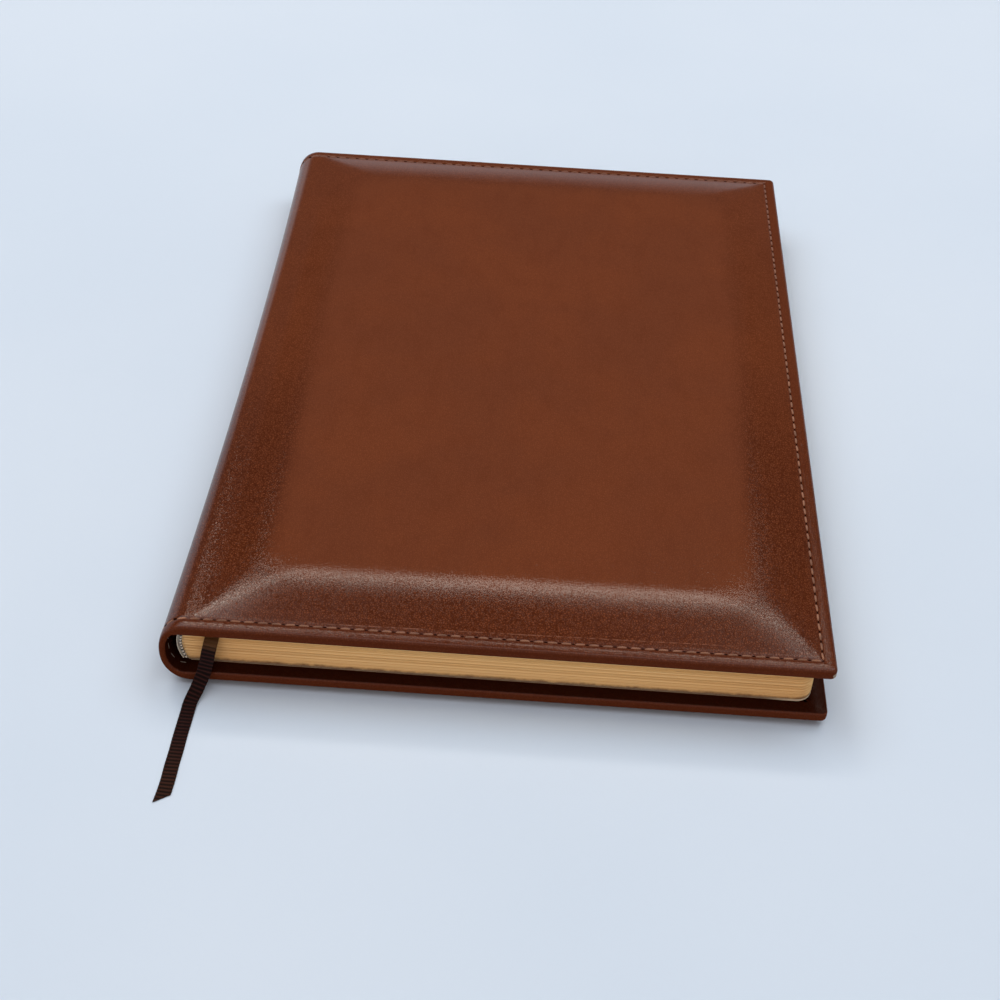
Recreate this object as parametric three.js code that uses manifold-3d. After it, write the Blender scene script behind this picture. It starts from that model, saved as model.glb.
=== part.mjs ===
// Padded leather journal, lying closed on its back cover.
//
// Millimetres. X runs from the spine to the fore edge, Y from the tail to the head and Z up
// from the table. The origin is on the table, under the middle of the closed book.
//
// The book is a case binding. Two padded leather covers and a round leather spine make the
// case, and a block of folded and sewn paper sections hangs in it by its endpapers.

import * as THREE from 'three';
import { mergeVertices } from 'three/addons/utils/BufferGeometryUtils.js';
import Module from 'manifold-3d';

const wasm = await Module();
wasm.setup();

// Whole book
const overallWidth = 151.2;
const coverLength = 216;

// Layers of a cover, from the outside in
const leatherThickness = 0.9;
const boardThickness = 1.1;
const turnInThickness = 0.8;
const turnInWidth = 15;
const pastedownThickness = 0.2;
const pastedownMargin = 3.5;

// Edges of a cover
const coverCornerRadius = 1.5;
const rimRounding = 1.1;
const boardSetback = 1.4;
const boardEdgeGap = 0.2;

// Padding of a cover
const stitchInset = 3;
const stitchDepth = 0.15;
const padBevel = 16;
const padRise = 2.1;
const padRidgeSoftness = 0.22;
const padCornerRadius = 6;
const padPressedFlat = 0.5;
const foamEdgeShare = 0.2;
const foamClearance = 0.25;

// Round spine
const spineDepth = 7.9;
const spineRoundDepth = 6.5;
const spineRoundness = 2.2;
const spineSag = 0.5;
const spineBow = 0.9;
const spineTurnInWidth = 12;
const spineTurnInThickness = 0.5;
const spineLinerThickness = 0.4;
const spineLinerGap = 0.1;
const spineEndRounding = 0.5;
const hollowGap = 1.9;
const frontSeamGap = 0.2;
const backSeamGap = 1.4;

// Paper
const sectionCount = 12;
const sectionThickness = 0.83;
const flyleafThickness = 0.2;
const tailSquare = 3.6;
const foreSquare = 3.4;
const pageCornerRadius = 3.7;
const gutterWidth = 4.4;
const gutterGap = 0.3;
const gutterStep = 0.4;
const turnedSections = 2;

// Back of the paper block
const blockRounding = 1.3;
const glueGap = 0.25;
const mullThickness = 0.3;
const mullEndInset = 12;
const liningThickness = 0.25;
const liningEndInset = 0.4;
const headbandBead = 0.9;
const headbandTongue = 7;
const headbandThickness = 0.3;
const headbandLift = 0.15;
const backLayerInset = 0.4;

// Ribbon marker
const ribbonWidth = 3.3;
const ribbonThickness = 0.3;
const ribbonSlot = 0.4;
const ribbonAfterSection = 9;
const ribbonHeadInset = 3;
const ribbonTipSlant = 2.6;

// How finely curves are stepped
const cornerSteps = 5;
const rimSteps = 4;
const spineSteps = 22;
const blockSteps = 9;
const beadSteps = 6;
const foldLevels = [0, 0.2, 0.5, 0.8, 1];
const endRoundShares = [0, 0.3, 1];

// Places along X
const foreEdge = overallWidth / 2;
const spineBack = -overallWidth / 2;
const seam = spineBack + spineDepth;
const pageFore = foreEdge - foreSquare;
const gutter = seam + gutterWidth;
const spineWall = leatherThickness + spineLinerGap + spineLinerThickness;
const foldBack = spineBack + spineWall + hollowGap + liningThickness + mullThickness + glueGap;

// Places along Y
const coverEnd = coverLength / 2;
const pageEnd = coverEnd - tailSquare;

// Heights, from the table up
const rimThickness = leatherThickness + boardThickness + turnInThickness;
const backRimBottom = padRise - padPressedFlat;
const backInside = backRimBottom + rimThickness;
const backPaper = backInside + pastedownThickness;
const sectionsBottom = backPaper + flyleafThickness;
const sectionsTop = sectionsBottom + sectionCount * sectionThickness + ribbonSlot;
const frontPaper = sectionsTop + flyleafThickness;
const frontInside = frontPaper + pastedownThickness;
const frontRimTop = frontInside + rimThickness;

// Finishes
const leather = new THREE.MeshStandardMaterial({ color: 0x623827, roughness: 0.38 });
const card = new THREE.MeshStandardMaterial({ color: 0x8d8578, roughness: 0.9 });
const foam = new THREE.MeshStandardMaterial({ color: 0xd9d3c4, roughness: 1 });
const endpaper = new THREE.MeshStandardMaterial({ color: 0xe9e0cb, roughness: 0.8 });
const giltPaper = new THREE.MeshStandardMaterial({ color: 0xb18d61, roughness: 0.4, metalness: 0.4 });
const gauze = new THREE.MeshStandardMaterial({ color: 0xdcd8cf, roughness: 1 });
const cotton = new THREE.MeshStandardMaterial({ color: 0xcfc8bb, roughness: 0.9 });
const grosgrain = new THREE.MeshStandardMaterial({ color: 0x2c1510, roughness: 0.7 });

// Mesh helpers

function dominantAxes(ring) {
  const normal = new THREE.Vector3();
  ring.forEach((point, i) => {
    const next = ring[(i + 1) % ring.length];
    normal.add(new THREE.Vector3().crossVectors(point, next));
  });
  const size = [Math.abs(normal.x), Math.abs(normal.y), Math.abs(normal.z)];
  const drop = size.indexOf(Math.max(...size));
  return ['x', 'y', 'z'].filter((axis, i) => i !== drop);
}

function capTriangles(ring) {
  const [u, v] = dominantAxes(ring);
  const flat = ring.map((point) => new THREE.Vector2(point[u], point[v]));
  const area = THREE.ShapeUtils.area(flat);
  return THREE.ShapeUtils.triangulateShape(flat, []).map(([a, b, c]) => {
    const turned = THREE.ShapeUtils.area([flat[a], flat[b], flat[c]]) * area < 0;
    return turned ? [a, c, b] : [a, b, c];
  });
}

function signedVolume(positions, index) {
  let volume = 0;
  const corner = [0, 1, 2].map(() => new THREE.Vector3());
  for (let i = 0; i < index.length; i += 3) {
    corner.forEach((point, k) => point.fromArray(positions, index[i + k] * 3));
    volume += corner[0].dot(corner[1].clone().cross(corner[2]));
  }
  return volume;
}

// A skin over a row of rings with equally many points, closed by a cap at each end.
function loft(rings) {
  const count = rings[0].length;
  const positions = rings.flatMap((ring) => ring.flatMap((point) => point.toArray()));
  const index = [];
  for (let r = 0; r + 1 < rings.length; r += 1) {
    for (let j = 0; j < count; j += 1) {
      const a = r * count + j;
      const b = r * count + ((j + 1) % count);
      index.push(a, b, b + count, a, b + count, a + count);
    }
  }
  capTriangles(rings[0]).forEach(([a, b, c]) => index.push(a, c, b));
  const last = (rings.length - 1) * count;
  capTriangles(rings[rings.length - 1]).forEach(([a, b, c]) => index.push(last + a, last + b, last + c));
  if (signedVolume(positions, index) < 0) index.reverse();
  const geometry = new THREE.BufferGeometry();
  geometry.setAttribute('position', new THREE.Float32BufferAttribute(positions, 3));
  geometry.setIndex(index);
  return geometry;
}

function solidOf(geometry) {
  const bare = geometry.clone();
  bare.deleteAttribute('normal');
  bare.deleteAttribute('uv');
  const merged = mergeVertices(bare);
  return new wasm.Manifold(new wasm.Mesh({
    numProp: 3,
    vertProperties: merged.attributes.position.array,
    triVerts: Uint32Array.from(merged.index.array),
  }));
}

function subtract(geometry, ...cutters) {
  let solid = solidOf(geometry);
  cutters.forEach((cutter) => {
    solid = solid.subtract(solidOf(cutter));
  });
  const mesh = solid.getMesh();
  const cut = new THREE.BufferGeometry();
  cut.setAttribute('position', new THREE.BufferAttribute(mesh.vertProperties, 3));
  cut.setIndex(new THREE.BufferAttribute(mesh.triVerts, 1));
  return cut;
}

function slab(x0, x1, y0, y1, z0, z1) {
  const box = new THREE.BoxGeometry(x1 - x0, y1 - y0, z1 - z0);
  return box.translate((x0 + x1) / 2, (y0 + y1) / 2, (z0 + z1) / 2);
}

function piece(name, geometry, material) {
  geometry.computeVertexNormals();
  const mesh = new THREE.Mesh(geometry, material);
  mesh.name = name;
  return mesh;
}

// A level outline: a rectangle with its own corner radius at the spine and at the fore edge.
function leafOutline(x0, x1, halfLength, z, spineRadius, foreRadius) {
  const corners = [
    [x1 - foreRadius, halfLength - foreRadius, foreRadius, 0],
    [x0 + spineRadius, halfLength - spineRadius, spineRadius, 1],
    [x0 + spineRadius, -halfLength + spineRadius, spineRadius, 2],
    [x1 - foreRadius, -halfLength + foreRadius, foreRadius, 3],
  ];
  return corners.flatMap(([cx, cy, radius, quarter]) => {
    const steps = radius > 0 ? cornerSteps : 0;
    return Array.from({ length: steps + 1 }, (_, i) => {
      const angle = (quarter + i / Math.max(steps, 1)) * (Math.PI / 2);
      return new THREE.Vector3(cx + radius * Math.cos(angle), cy + radius * Math.sin(angle), z);
    });
  });
}

// Covers
//
// A cover is built with its inside face at height 0 and its padded face up. The back cover is
// the same form turned over, and its pad is pressed flat where the book lies on it.

// Height of the padding as a share of its full rise: a straight bevel that turns into the
// flat top through a soft ridge. The share t is 0 at the stitches and 1 at the ridge.
function padShare(t) {
  if (t <= 1 - padRidgeSoftness) return Math.max(t, 0);
  if (t >= 1 + padRidgeSoftness) return 1;
  const past = t - 1 + padRidgeSoftness;
  return t - (past * past) / (4 * padRidgeSoftness);
}

const bevelShares = [0, 0.25, 0.5, 1 - padRidgeSoftness, 1 - padRidgeSoftness / 2, 1,
  1 + padRidgeSoftness / 2, 1 + padRidgeSoftness];

function padOutline(share, height) {
  const inset = stitchInset + share * padBevel;
  const radius = padCornerRadius * Math.min(share, 1) + coverCornerRadius;
  return leafOutline(seam + share * padBevel, foreEdge - inset, coverEnd - inset, height, radius, radius);
}

function rimOutline(inset, height) {
  const radius = Math.max(coverCornerRadius - inset, coverCornerRadius / 4);
  return leafOutline(seam - padBevel, foreEdge - inset, coverEnd - inset, height, radius, radius);
}

function coverSkin(highest) {
  const rings = [];
  for (let i = 0; i <= rimSteps; i += 1) {
    const angle = (i / rimSteps) * (Math.PI / 2);
    rings.push(rimOutline(rimRounding * (1 - Math.sin(angle)), rimRounding * (1 - Math.cos(angle))));
  }
  for (let i = 0; i <= rimSteps; i += 1) {
    const angle = (i / rimSteps) * (Math.PI / 2);
    const drop = rimRounding * (1 - Math.sin(angle));
    rings.push(rimOutline(rimRounding * (1 - Math.cos(angle)), rimThickness - drop));
  }
  rings.push(rimOutline(stitchInset, rimThickness - stitchDepth));
  bevelShares.forEach((share) => {
    const dip = share > 0 ? 0 : stitchDepth;
    const height = rimThickness - dip + padRise * padShare(share);
    rings.push(padOutline(share, Math.min(height, highest)));
  });
  return loft(rings);
}

function padCore(highest, clearance) {
  const boardTop = turnInThickness + boardThickness;
  const shares = [foamEdgeShare, ...bevelShares.filter((share) => share > foamEdgeShare)];
  const rings = [padOutline(foamEdgeShare, boardTop)];
  shares.forEach((share) => {
    const height = rimThickness + padRise * padShare(share);
    rings.push(padOutline(share, Math.min(height, highest) - leatherThickness - clearance));
  });
  return loft(rings);
}

function coverLeather(highest) {
  const boardTop = turnInThickness + boardThickness;
  const edge = leatherThickness + boardEdgeGap;
  const beyond = padBevel * 2;
  const spineSide = slab(seam - beyond, seam, -coverLength, coverLength, -beyond, beyond);
  const boardRoom = slab(seam - beyond, foreEdge - edge, -coverEnd + edge, coverEnd - edge,
    turnInThickness, boardTop);
  const foamRoom = padCore(highest, 0);
  const window = slab(seam - beyond, foreEdge - turnInWidth, -coverEnd + turnInWidth,
    coverEnd - turnInWidth, -beyond, (turnInThickness + boardTop) / 2);
  return subtract(coverSkin(highest), spineSide, boardRoom, foamRoom, window);
}

function coverPieces(side, highest) {
  const edge = leatherThickness + boardEdgeGap;
  const boardStart = seam + boardSetback;
  const boardTop = turnInThickness + boardThickness;
  const infillEnd = coverEnd - turnInWidth - boardEdgeGap;
  const pastedownEnd = coverEnd - pastedownMargin;
  return [
    piece(`${side}_leather`, coverLeather(highest), leather),
    piece(`${side}_board`,
      slab(boardStart, foreEdge - edge, -coverEnd + edge, coverEnd - edge, turnInThickness, boardTop), card),
    piece(`${side}_foam_pad`, padCore(highest, foamClearance), foam),
    piece(`${side}_infill_card`,
      slab(boardStart, foreEdge - turnInWidth - boardEdgeGap, -infillEnd, infillEnd, 0, turnInThickness), card),
    piece(`${side}_pastedown`,
      slab(boardStart, foreEdge - pastedownMargin, -pastedownEnd, pastedownEnd, -pastedownThickness, 0),
      endpaper),
  ];
}

const frontCover = new THREE.Group();
frontCover.position.z = frontInside;
frontCover.add(...coverPieces('front', rimThickness + padRise));

const backCover = new THREE.Group();
backCover.position.z = backInside;
backCover.rotation.x = Math.PI;
backCover.add(...coverPieces('back', backInside));

// Round spine
//
// Its outline is the left half of a superellipse between the two covers. The leather is
// folded in at head and tail, and a card liner fills the length between the folds.

const spineTop = frontRimTop;
const spineBottom = backRimBottom - spineSag;
const spineMiddle = (spineTop + spineBottom) / 2;
const spineHalfHeight = (spineTop - spineBottom) / 2;
const spineCentre = spineBack + spineRoundDepth;

// A point on the spine's outline, a distance in from its outer face, at an angle that goes
// from -90 degrees at the back cover to 90 degrees at the front cover. The middle of the
// spine's length is drawn in by the bow.
function spinePoint(angle, depth, y) {
  const power = 2 / spineRoundness;
  const reach = Math.abs(Math.cos(angle)) ** power;
  const lift = Math.sign(angle) * Math.abs(Math.sin(angle)) ** power;
  const bow = spineBow * (1 - (y / coverEnd) ** 2) * reach;
  const x = spineCentre - (spineRoundDepth - depth) * reach + bow;
  return new THREE.Vector3(x, y, spineMiddle + (spineHalfHeight - depth) * lift);
}

function spineRing(y, outerDepth, innerDepth, topEnd, bottomEnd, angleLimit) {
  const angles = Array.from({ length: spineSteps + 1 }, (_, i) => angleLimit * (1 - (2 * i) / spineSteps));
  const outer = angles.map((angle) => spinePoint(angle, outerDepth, y));
  const inner = angles.map((angle) => spinePoint(angle, innerDepth, y)).reverse();
  if (topEnd === null) return [...outer, ...inner];
  return [
    new THREE.Vector3(topEnd, y, spineTop - outerDepth),
    ...outer,
    new THREE.Vector3(bottomEnd, y, spineBottom + outerDepth),
    new THREE.Vector3(bottomEnd, y, spineBottom + innerDepth),
    ...inner,
    new THREE.Vector3(topEnd, y, spineTop - innerDepth),
  ];
}

function spineLeather() {
  const folded = leatherThickness + spineTurnInThickness;
  const foldEnd = coverEnd - spineTurnInWidth;
  const endStations = endRoundShares.map((share) => {
    const angle = share * (Math.PI / 2);
    const depth = spineEndRounding * (1 - Math.sin(angle));
    return [coverEnd - spineEndRounding * (1 - Math.cos(angle)), depth, folded - depth];
  });
  const halfStations = [
    ...endStations,
    [foldEnd, 0, folded],
    [foldEnd - spineTurnInThickness, 0, leatherThickness],
    [foldEnd / 2, 0, leatherThickness],
  ];
  const stations = [
    ...halfStations.map(([y, outer, inner]) => [-y, outer, inner]),
    [0, 0, leatherThickness],
    ...[...halfStations].reverse(),
  ];
  const topEnd = seam - frontSeamGap;
  const bottomEnd = seam - backSeamGap;
  return loft(stations.map(([y, outer, inner]) => (
    spineRing(y, outer, inner, topEnd, bottomEnd, Math.PI / 2))));
}

function spineLiner() {
  const end = coverEnd - spineTurnInWidth - spineTurnInThickness - spineLinerGap;
  const outer = leatherThickness + spineLinerGap;
  const limit = (Math.PI / 2) * (1 - 1 / spineSteps);
  const stations = [-end, -end / 2, 0, end / 2, end];
  return loft(stations.map((y) => spineRing(y, outer, outer + spineLinerThickness, null, null, limit)));
}

// Paper block

const blockMiddle = (sectionsBottom + sectionsTop) / 2;
const blockHalf = (sectionsTop - sectionsBottom) / 2;

// The folds lie on a shallow arc, furthest back at the middle of the block.
function foldLine(z) {
  const share = (z - blockMiddle) / blockHalf;
  return foldBack + blockRounding * share * share;
}

function sectionBase(number) {
  const slot = number > ribbonAfterSection ? ribbonSlot : 0;
  return sectionsBottom + (number - 1) * sectionThickness + slot;
}

// A folded section: its spine edge is the half round of the folded sheets.
function foldedSection(number, foreX, foreRadius) {
  const bottom = sectionBase(number);
  const radius = sectionThickness / 2;
  const foldX = foldLine(bottom + radius);
  return loft(foldLevels.map((share) => {
    const away = 2 * share - 1;
    const inset = radius * (1 - Math.sqrt(1 - away * away));
    return leafOutline(foldX + inset, foreX, pageEnd, bottom + share * sectionThickness, 0, foreRadius);
  }));
}

function flatLeaves(x0, bottom, top, foreX = pageFore, foreRadius = pageCornerRadius) {
  return loft([
    leafOutline(x0, foreX, pageEnd, bottom, 0, foreRadius),
    leafOutline(x0, foreX, pageEnd, top, 0, foreRadius),
  ]);
}

// Where a leaf bends as it turns. Each layer that turns bends a step nearer the spine than the
// layer under it, and what stays sewn ends a gap before that line.
function turnLine(order) {
  return gutter - order * gutterStep;
}

const paperBlock = new THREE.Group();
for (let number = 1; number <= sectionCount; number += 1) {
  const label = `section_${String(number).padStart(2, '0')}`;
  const order = number - 1 - (sectionCount - turnedSections);
  if (order >= 0) {
    const bottom = sectionBase(number);
    const start = turnLine(order);
    paperBlock.add(
      piece(`${label}_fold`, foldedSection(number, start - gutterGap, 0), giltPaper),
      piece(`${label}_leaves`, flatLeaves(start, bottom, bottom + sectionThickness), giltPaper),
    );
  } else {
    paperBlock.add(piece(label, foldedSection(number, pageFore, pageCornerRadius), giltPaper));
  }
}

const flyleafStart = foldLine(sectionsBottom);
const flyleafTurn = turnLine(turnedSections);
paperBlock.add(
  piece('back_flyleaf', flatLeaves(flyleafStart, backPaper, sectionsBottom), endpaper),
  piece('front_flyleaf', flatLeaves(flyleafTurn, sectionsTop, frontPaper), endpaper),
  piece('front_endpaper_hinge',
    flatLeaves(flyleafStart, sectionsTop, frontPaper, flyleafTurn - gutterGap, 0), endpaper),
);

// A layer that follows the rounded back of the block: a level outline, given as distances
// behind the folds and along Y, carried up the block.
function backLayer(outline) {
  const bottom = sectionsBottom + backLayerInset;
  const top = sectionsTop - backLayerInset;
  const levels = Array.from({ length: blockSteps }, (_, i) => bottom + ((top - bottom) * i) / (blockSteps - 1));
  return loft(levels.map((z) => outline.map(([behind, y]) => new THREE.Vector3(foldLine(z) - behind, y, z))));
}

function backStrip(inner, thickness, endInset) {
  const end = pageEnd - endInset;
  return backLayer([[inner, -end], [inner + thickness, -end], [inner + thickness, end], [inner, end]]);
}

// A headband is a cotton bead over the page ends with a tongue glued down the lining. The bead
// is rounded from its foot on the pages, over the end, to the back of the tongue.
const beadStart = -Math.PI / 4;
const beadSweep = Math.PI - beadStart;

function headband(sign) {
  const tongueInner = glueGap + mullThickness + liningThickness;
  const tongueOuter = tongueInner + headbandThickness;
  const beadFoot = pageEnd + headbandLift;
  const beadMiddle = beadFoot + headbandBead;
  const bead = Array.from({ length: beadSteps }, (_, i) => {
    const angle = beadStart + (beadSweep * i) / beadSteps;
    return [-headbandBead * Math.cos(angle), beadMiddle + headbandBead * Math.sin(angle)];
  });
  const outline = [
    [tongueOuter, pageEnd - headbandTongue],
    [tongueInner, pageEnd - headbandTongue],
    [tongueInner, beadFoot],
    ...bead,
    [tongueOuter, beadMiddle],
  ];
  return backLayer(outline.map(([behind, y]) => [behind, sign * y]));
}

paperBlock.add(
  piece('spine_leather', spineLeather(), leather),
  piece('spine_liner', spineLiner(), card),
  piece('mull_cloth', backStrip(glueGap, mullThickness, mullEndInset), gauze),
  piece('spine_lining', backStrip(glueGap + mullThickness, liningThickness, liningEndInset), endpaper),
  piece('headband_head', headband(1), cotton),
  piece('headband_tail', headband(-1), cotton),
);

// Ribbon marker
//
// The ribbon is held between two sections from its glued end at the head to the tail edge,
// and from there its free end hangs over the back cover's rim and lies on the table.

const ribbonLevel = sectionBase(ribbonAfterSection + 1) - ribbonSlot / 2;

const ribbonRoute = [
  [-64.3, -pageEnd - gutterGap, ribbonLevel], [-64.3, -105.4, 12.4], [-64.4, -106.1, 12],
  [-64.6, -106.8, 11.1], [-64.9, -107.3, 9.8], [-65.2, -107.7, 8.2], [-65.6, -108.1, 6.6],
  [-65.9, -108.6, 5.2], [-66.4, -109.3, 3.9], [-66.9, -110.1, 2.8], [-67.4, -111.2, 1.8],
  [-68, -112.6, 1], [-68.4, -114.4, 0.5], [-68.5, -117, 0.25], [-68.6, -120, 0.2],
  [-68.7, -124, 0.2], [-68.7, -128, 0.2], [-68.8, -132, 0.2], [-68.8, -136, 0.2],
  [-68.9, -139, 0.2], [-69.1, -141.5, 0.2],
].map((point) => new THREE.Vector3(...point));

// The held stretch lies flat, so it is a level strip about its own line.
function heldRibbon() {
  const line = [
    new THREE.Vector2(foldBack + blockRounding + ribbonWidth / 2, pageEnd - ribbonHeadInset),
    new THREE.Vector2(gutter - gutterGap, pageEnd / 2),
    new THREE.Vector2(ribbonRoute[0].x, -pageEnd),
  ];
  const half = ribbonWidth / 2;
  const outline = [
    ...line.map((point) => [point.x - half, point.y]),
    ...[...line].reverse().map((point) => [point.x + half, point.y]),
  ];
  const levels = [ribbonLevel - ribbonThickness / 2, ribbonLevel + ribbonThickness / 2];
  return loft(levels.map((z) => outline.map(([x, y]) => new THREE.Vector3(x, y, z))));
}

// The free end is a flat section carried along the route, with its width kept across it.
// Its last section is cut on a slant.
function freeRibbon() {
  const w = ribbonWidth / 2;
  const t = ribbonThickness / 2;
  const section = [[w, -t / 2], [w, t / 2], [w - t, t], [t - w, t], [-w, t / 2], [-w, -t / 2], [t - w, -t],
    [w - t, -t]];
  return loft(ribbonRoute.map((point, i) => {
    const before = ribbonRoute[Math.max(i - 1, 0)];
    const after = ribbonRoute[Math.min(i + 1, ribbonRoute.length - 1)];
    const along = i === 0 ? new THREE.Vector3(0, -1, 0) : after.clone().sub(before).normalize();
    const across = new THREE.Vector3(1, 0, 0).addScaledVector(along, -along.x).normalize();
    const up = new THREE.Vector3().crossVectors(across, along);
    const slant = i === ribbonRoute.length - 1 ? ribbonTipSlant / ribbonWidth : 0;
    return section.map(([a, b]) => point.clone().addScaledVector(across, a).addScaledVector(up, b)
      .addScaledVector(along, -slant * a));
  }));
}

paperBlock.add(
  piece('ribbon_marker', heldRibbon(), grosgrain),
  piece('ribbon_tail', freeRibbon(), grosgrain),
);

const journal = new THREE.Group();
journal.add(backCover, paperBlock, frontCover);

export default journal;
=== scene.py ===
# %% [markdown]
# # A padded leather journal
#
# The journal lies closed on a pale table, seen from above its tail edge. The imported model
# gives every piece its place, so this script starts with it. Skins, threads and papers that
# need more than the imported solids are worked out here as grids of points, in millimetres,
# and turned to metres when they become meshes.

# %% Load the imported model
import math
import bmesh
import bpy
import numpy as np
from mathutils import Matrix, Vector


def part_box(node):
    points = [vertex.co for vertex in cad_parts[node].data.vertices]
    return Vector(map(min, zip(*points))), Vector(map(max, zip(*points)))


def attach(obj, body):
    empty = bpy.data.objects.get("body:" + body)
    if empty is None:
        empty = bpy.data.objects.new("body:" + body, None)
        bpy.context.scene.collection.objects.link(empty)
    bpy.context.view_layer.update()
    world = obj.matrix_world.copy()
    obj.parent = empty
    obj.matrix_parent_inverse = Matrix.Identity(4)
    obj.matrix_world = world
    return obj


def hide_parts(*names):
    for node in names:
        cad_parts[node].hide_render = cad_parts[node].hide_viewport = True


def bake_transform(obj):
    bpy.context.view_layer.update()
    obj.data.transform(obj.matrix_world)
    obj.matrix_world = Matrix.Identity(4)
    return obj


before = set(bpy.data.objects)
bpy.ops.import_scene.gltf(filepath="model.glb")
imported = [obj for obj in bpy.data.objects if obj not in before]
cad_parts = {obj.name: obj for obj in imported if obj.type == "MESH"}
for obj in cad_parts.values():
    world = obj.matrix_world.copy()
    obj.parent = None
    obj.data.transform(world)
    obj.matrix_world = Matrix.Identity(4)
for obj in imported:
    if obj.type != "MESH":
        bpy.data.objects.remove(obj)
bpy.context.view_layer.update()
MM = 0.001


def node_box(node):
    """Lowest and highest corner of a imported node, in millimetres."""
    low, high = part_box(node)
    return np.array(low) / MM, np.array(high) / MM


# %% [markdown]
# ## Camera
#
# A picture is matched by finding the camera first. Its place and lens were worked out from
# straight edges and stitch holes, whose real spacing is known. A camera in Blender looks down
# its own -Z, so its axes are the picture's right, the picture's up and the way back from
# the book.

# %% Camera
CAMERA_PLACE = Vector((5.785, -366.98, 283.32)) * MM
CAMERA_LOOK = Vector((-0.01937, 0.75948, -0.65024))
CAMERA_UP = Vector((-0.06594, 0.64798, 0.75880))
SENSOR_WIDTH = 36.0
LENS = 60.113
NEAREST_SEEN = 10 * MM

camera_data = bpy.data.cameras.new("camera")
camera_data.sensor_width = SENSOR_WIDTH
camera_data.lens = LENS
camera_data.clip_start = NEAREST_SEEN
camera = bpy.data.objects.new("camera", camera_data)
bpy.context.scene.collection.objects.link(camera)
camera_right = CAMERA_LOOK.cross(CAMERA_UP).normalized()
camera_true_up = camera_right.cross(CAMERA_LOOK).normalized()
turn = Matrix((camera_right, camera_true_up, -CAMERA_LOOK.normalized())).transposed()
camera.matrix_world = Matrix.Translation(CAMERA_PLACE) @ turn.to_4x4()
bpy.context.scene.camera = camera
print("camera", [round(v, 4) for v in CAMERA_PLACE], "lens", LENS)


# %% [markdown]
# ## From grids to meshes
#
# Each skin here is one or more grids of points. Neighbouring grids share a row of points, and
# welding these rows makes one closed mesh. A quad that loses a corner in the weld becomes a
# triangle, which closes the ends of a thread. Numbers that a material needs at each point,
# such as how worn it is, go into the mesh as marks.

# %% Grids
def grid_points(x, y, z):
    """Points from three arrays, each repeated to the shape that the three have together."""
    return np.stack(np.broadcast_arrays(x, y, z), axis=-1)


def closing_strips(first, second):
    """The four strips, one for each border, that close the gap between two grids."""
    strips = []
    for end in (0, -1):
        strips.append(np.stack([first[end], second[end]]))
        strips.append(np.stack([first[:, end], second[:, end]], axis=1))
    return strips


def grid_quads(rows, columns):
    """Corner numbers of the quads of a grid: point (r, c) has the number r * columns + c."""
    first = (np.arange(rows - 1)[:, None] * columns + np.arange(columns - 1)[None, :]).ravel()
    return np.stack([first, first + 1, first + columns + 1, first + columns], axis=1)


print("a grid of 3 by 4 points has", len(grid_quads(3, 4)), "quads")

# %% Welding and faces
WELD_DIGITS = 4


def welded(patches, marks):
    """Points, faces and mark values of grids after points at one place are made one."""
    offset, points, quads = 0, [], []
    values = {name: [] for name in marks}
    for number, patch in enumerate(patches):
        rows, columns = patch.shape[:2]
        points.append(patch.reshape(-1, 3))
        quads.append(grid_quads(rows, columns) + offset)
        offset += rows * columns
        for name, grids in marks.items():
            values[name].append(np.broadcast_to(grids[number], (rows, columns)).ravel())
    points = np.concatenate(points)
    kept, same = np.unique(points.round(WELD_DIGITS), axis=0, return_index=True,
                           return_inverse=True)[1:]
    quads = same.ravel()[np.concatenate(quads)]
    values = {name: np.concatenate(parts)[kept] for name, parts in values.items()}
    return points[kept], quads, values


def faces_from(quads):
    """Quads without repeated corners; those with fewer than three corners are left out."""
    repeated = (quads == np.roll(quads, 1, axis=1)) | (quads[:, [0]] == quads[:, [2]])
    whole = ~repeated.any(axis=1)
    faces = quads[whole].tolist()
    for quad in quads[~whole].tolist():
        corners = list(dict.fromkeys(quad))
        if len(corners) > 2:
            faces.append(corners)
    return faces


def ring_faces(rings, size):
    """Faces between closed rings of points, one above the other, and a flat face at each end."""
    ring, place = np.meshgrid(np.arange(rings - 1), np.arange(size), indexing="ij")
    first, beside = ring * size + place, ring * size + (place + 1) % size
    sides = np.stack([first, beside, beside + size, first + size], axis=-1).reshape(-1, 4)
    last = (rings - 1) * size
    return sides.tolist() + [list(range(size))[::-1], list(range(last, last + size))]


print("two rings of 6 points have", len(ring_faces(2, 6)), "faces")

# %% Meshes
SHARP_ANGLE = math.radians(42)


def add_piece(name, points, faces, material, values=None, sharp=SHARP_ANGLE):
    """A smooth-shaded mesh object from points in millimetres, with its faces turned outwards."""
    mesh = bpy.data.meshes.new(name)
    mesh.from_pydata((points * MM).tolist(), [], faces)
    for mark, numbers in (values or {}).items():
        layer = mesh.attributes.new(mark, "FLOAT", "POINT")
        layer.data.foreach_set("value", numbers.astype(np.float32))
    shape = bmesh.new()
    shape.from_mesh(mesh)
    bmesh.ops.recalc_face_normals(shape, faces=shape.faces)
    shape.to_mesh(mesh)
    shape.free()
    mesh.shade_smooth()
    mesh.set_sharp_from_angle(angle=sharp)
    mesh.materials.append(material)
    piece = bpy.data.objects.new(name, mesh)
    bpy.context.scene.collection.objects.link(piece)
    return piece


def skin(name, patches, material, marks=None, sharp=SHARP_ANGLE):
    """One welded piece from grids of points, with a value for each mark on each grid."""
    points, quads, values = welded(patches, marks or {})
    piece = add_piece(name, points, faces_from(quads), material, values, sharp)
    print(name, len(points), "points")
    return piece


print("edges are sharp from", round(math.degrees(SHARP_ANGLE)), "degrees on")

# %% Steps and stations
def smooth_step(low, high, value):
    """0 below low, 1 above high, and 3t^2 - 2t^3 between them."""
    share = np.clip((value - low) / (high - low), 0, 1)
    return share * share * (3 - 2 * share)


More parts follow.
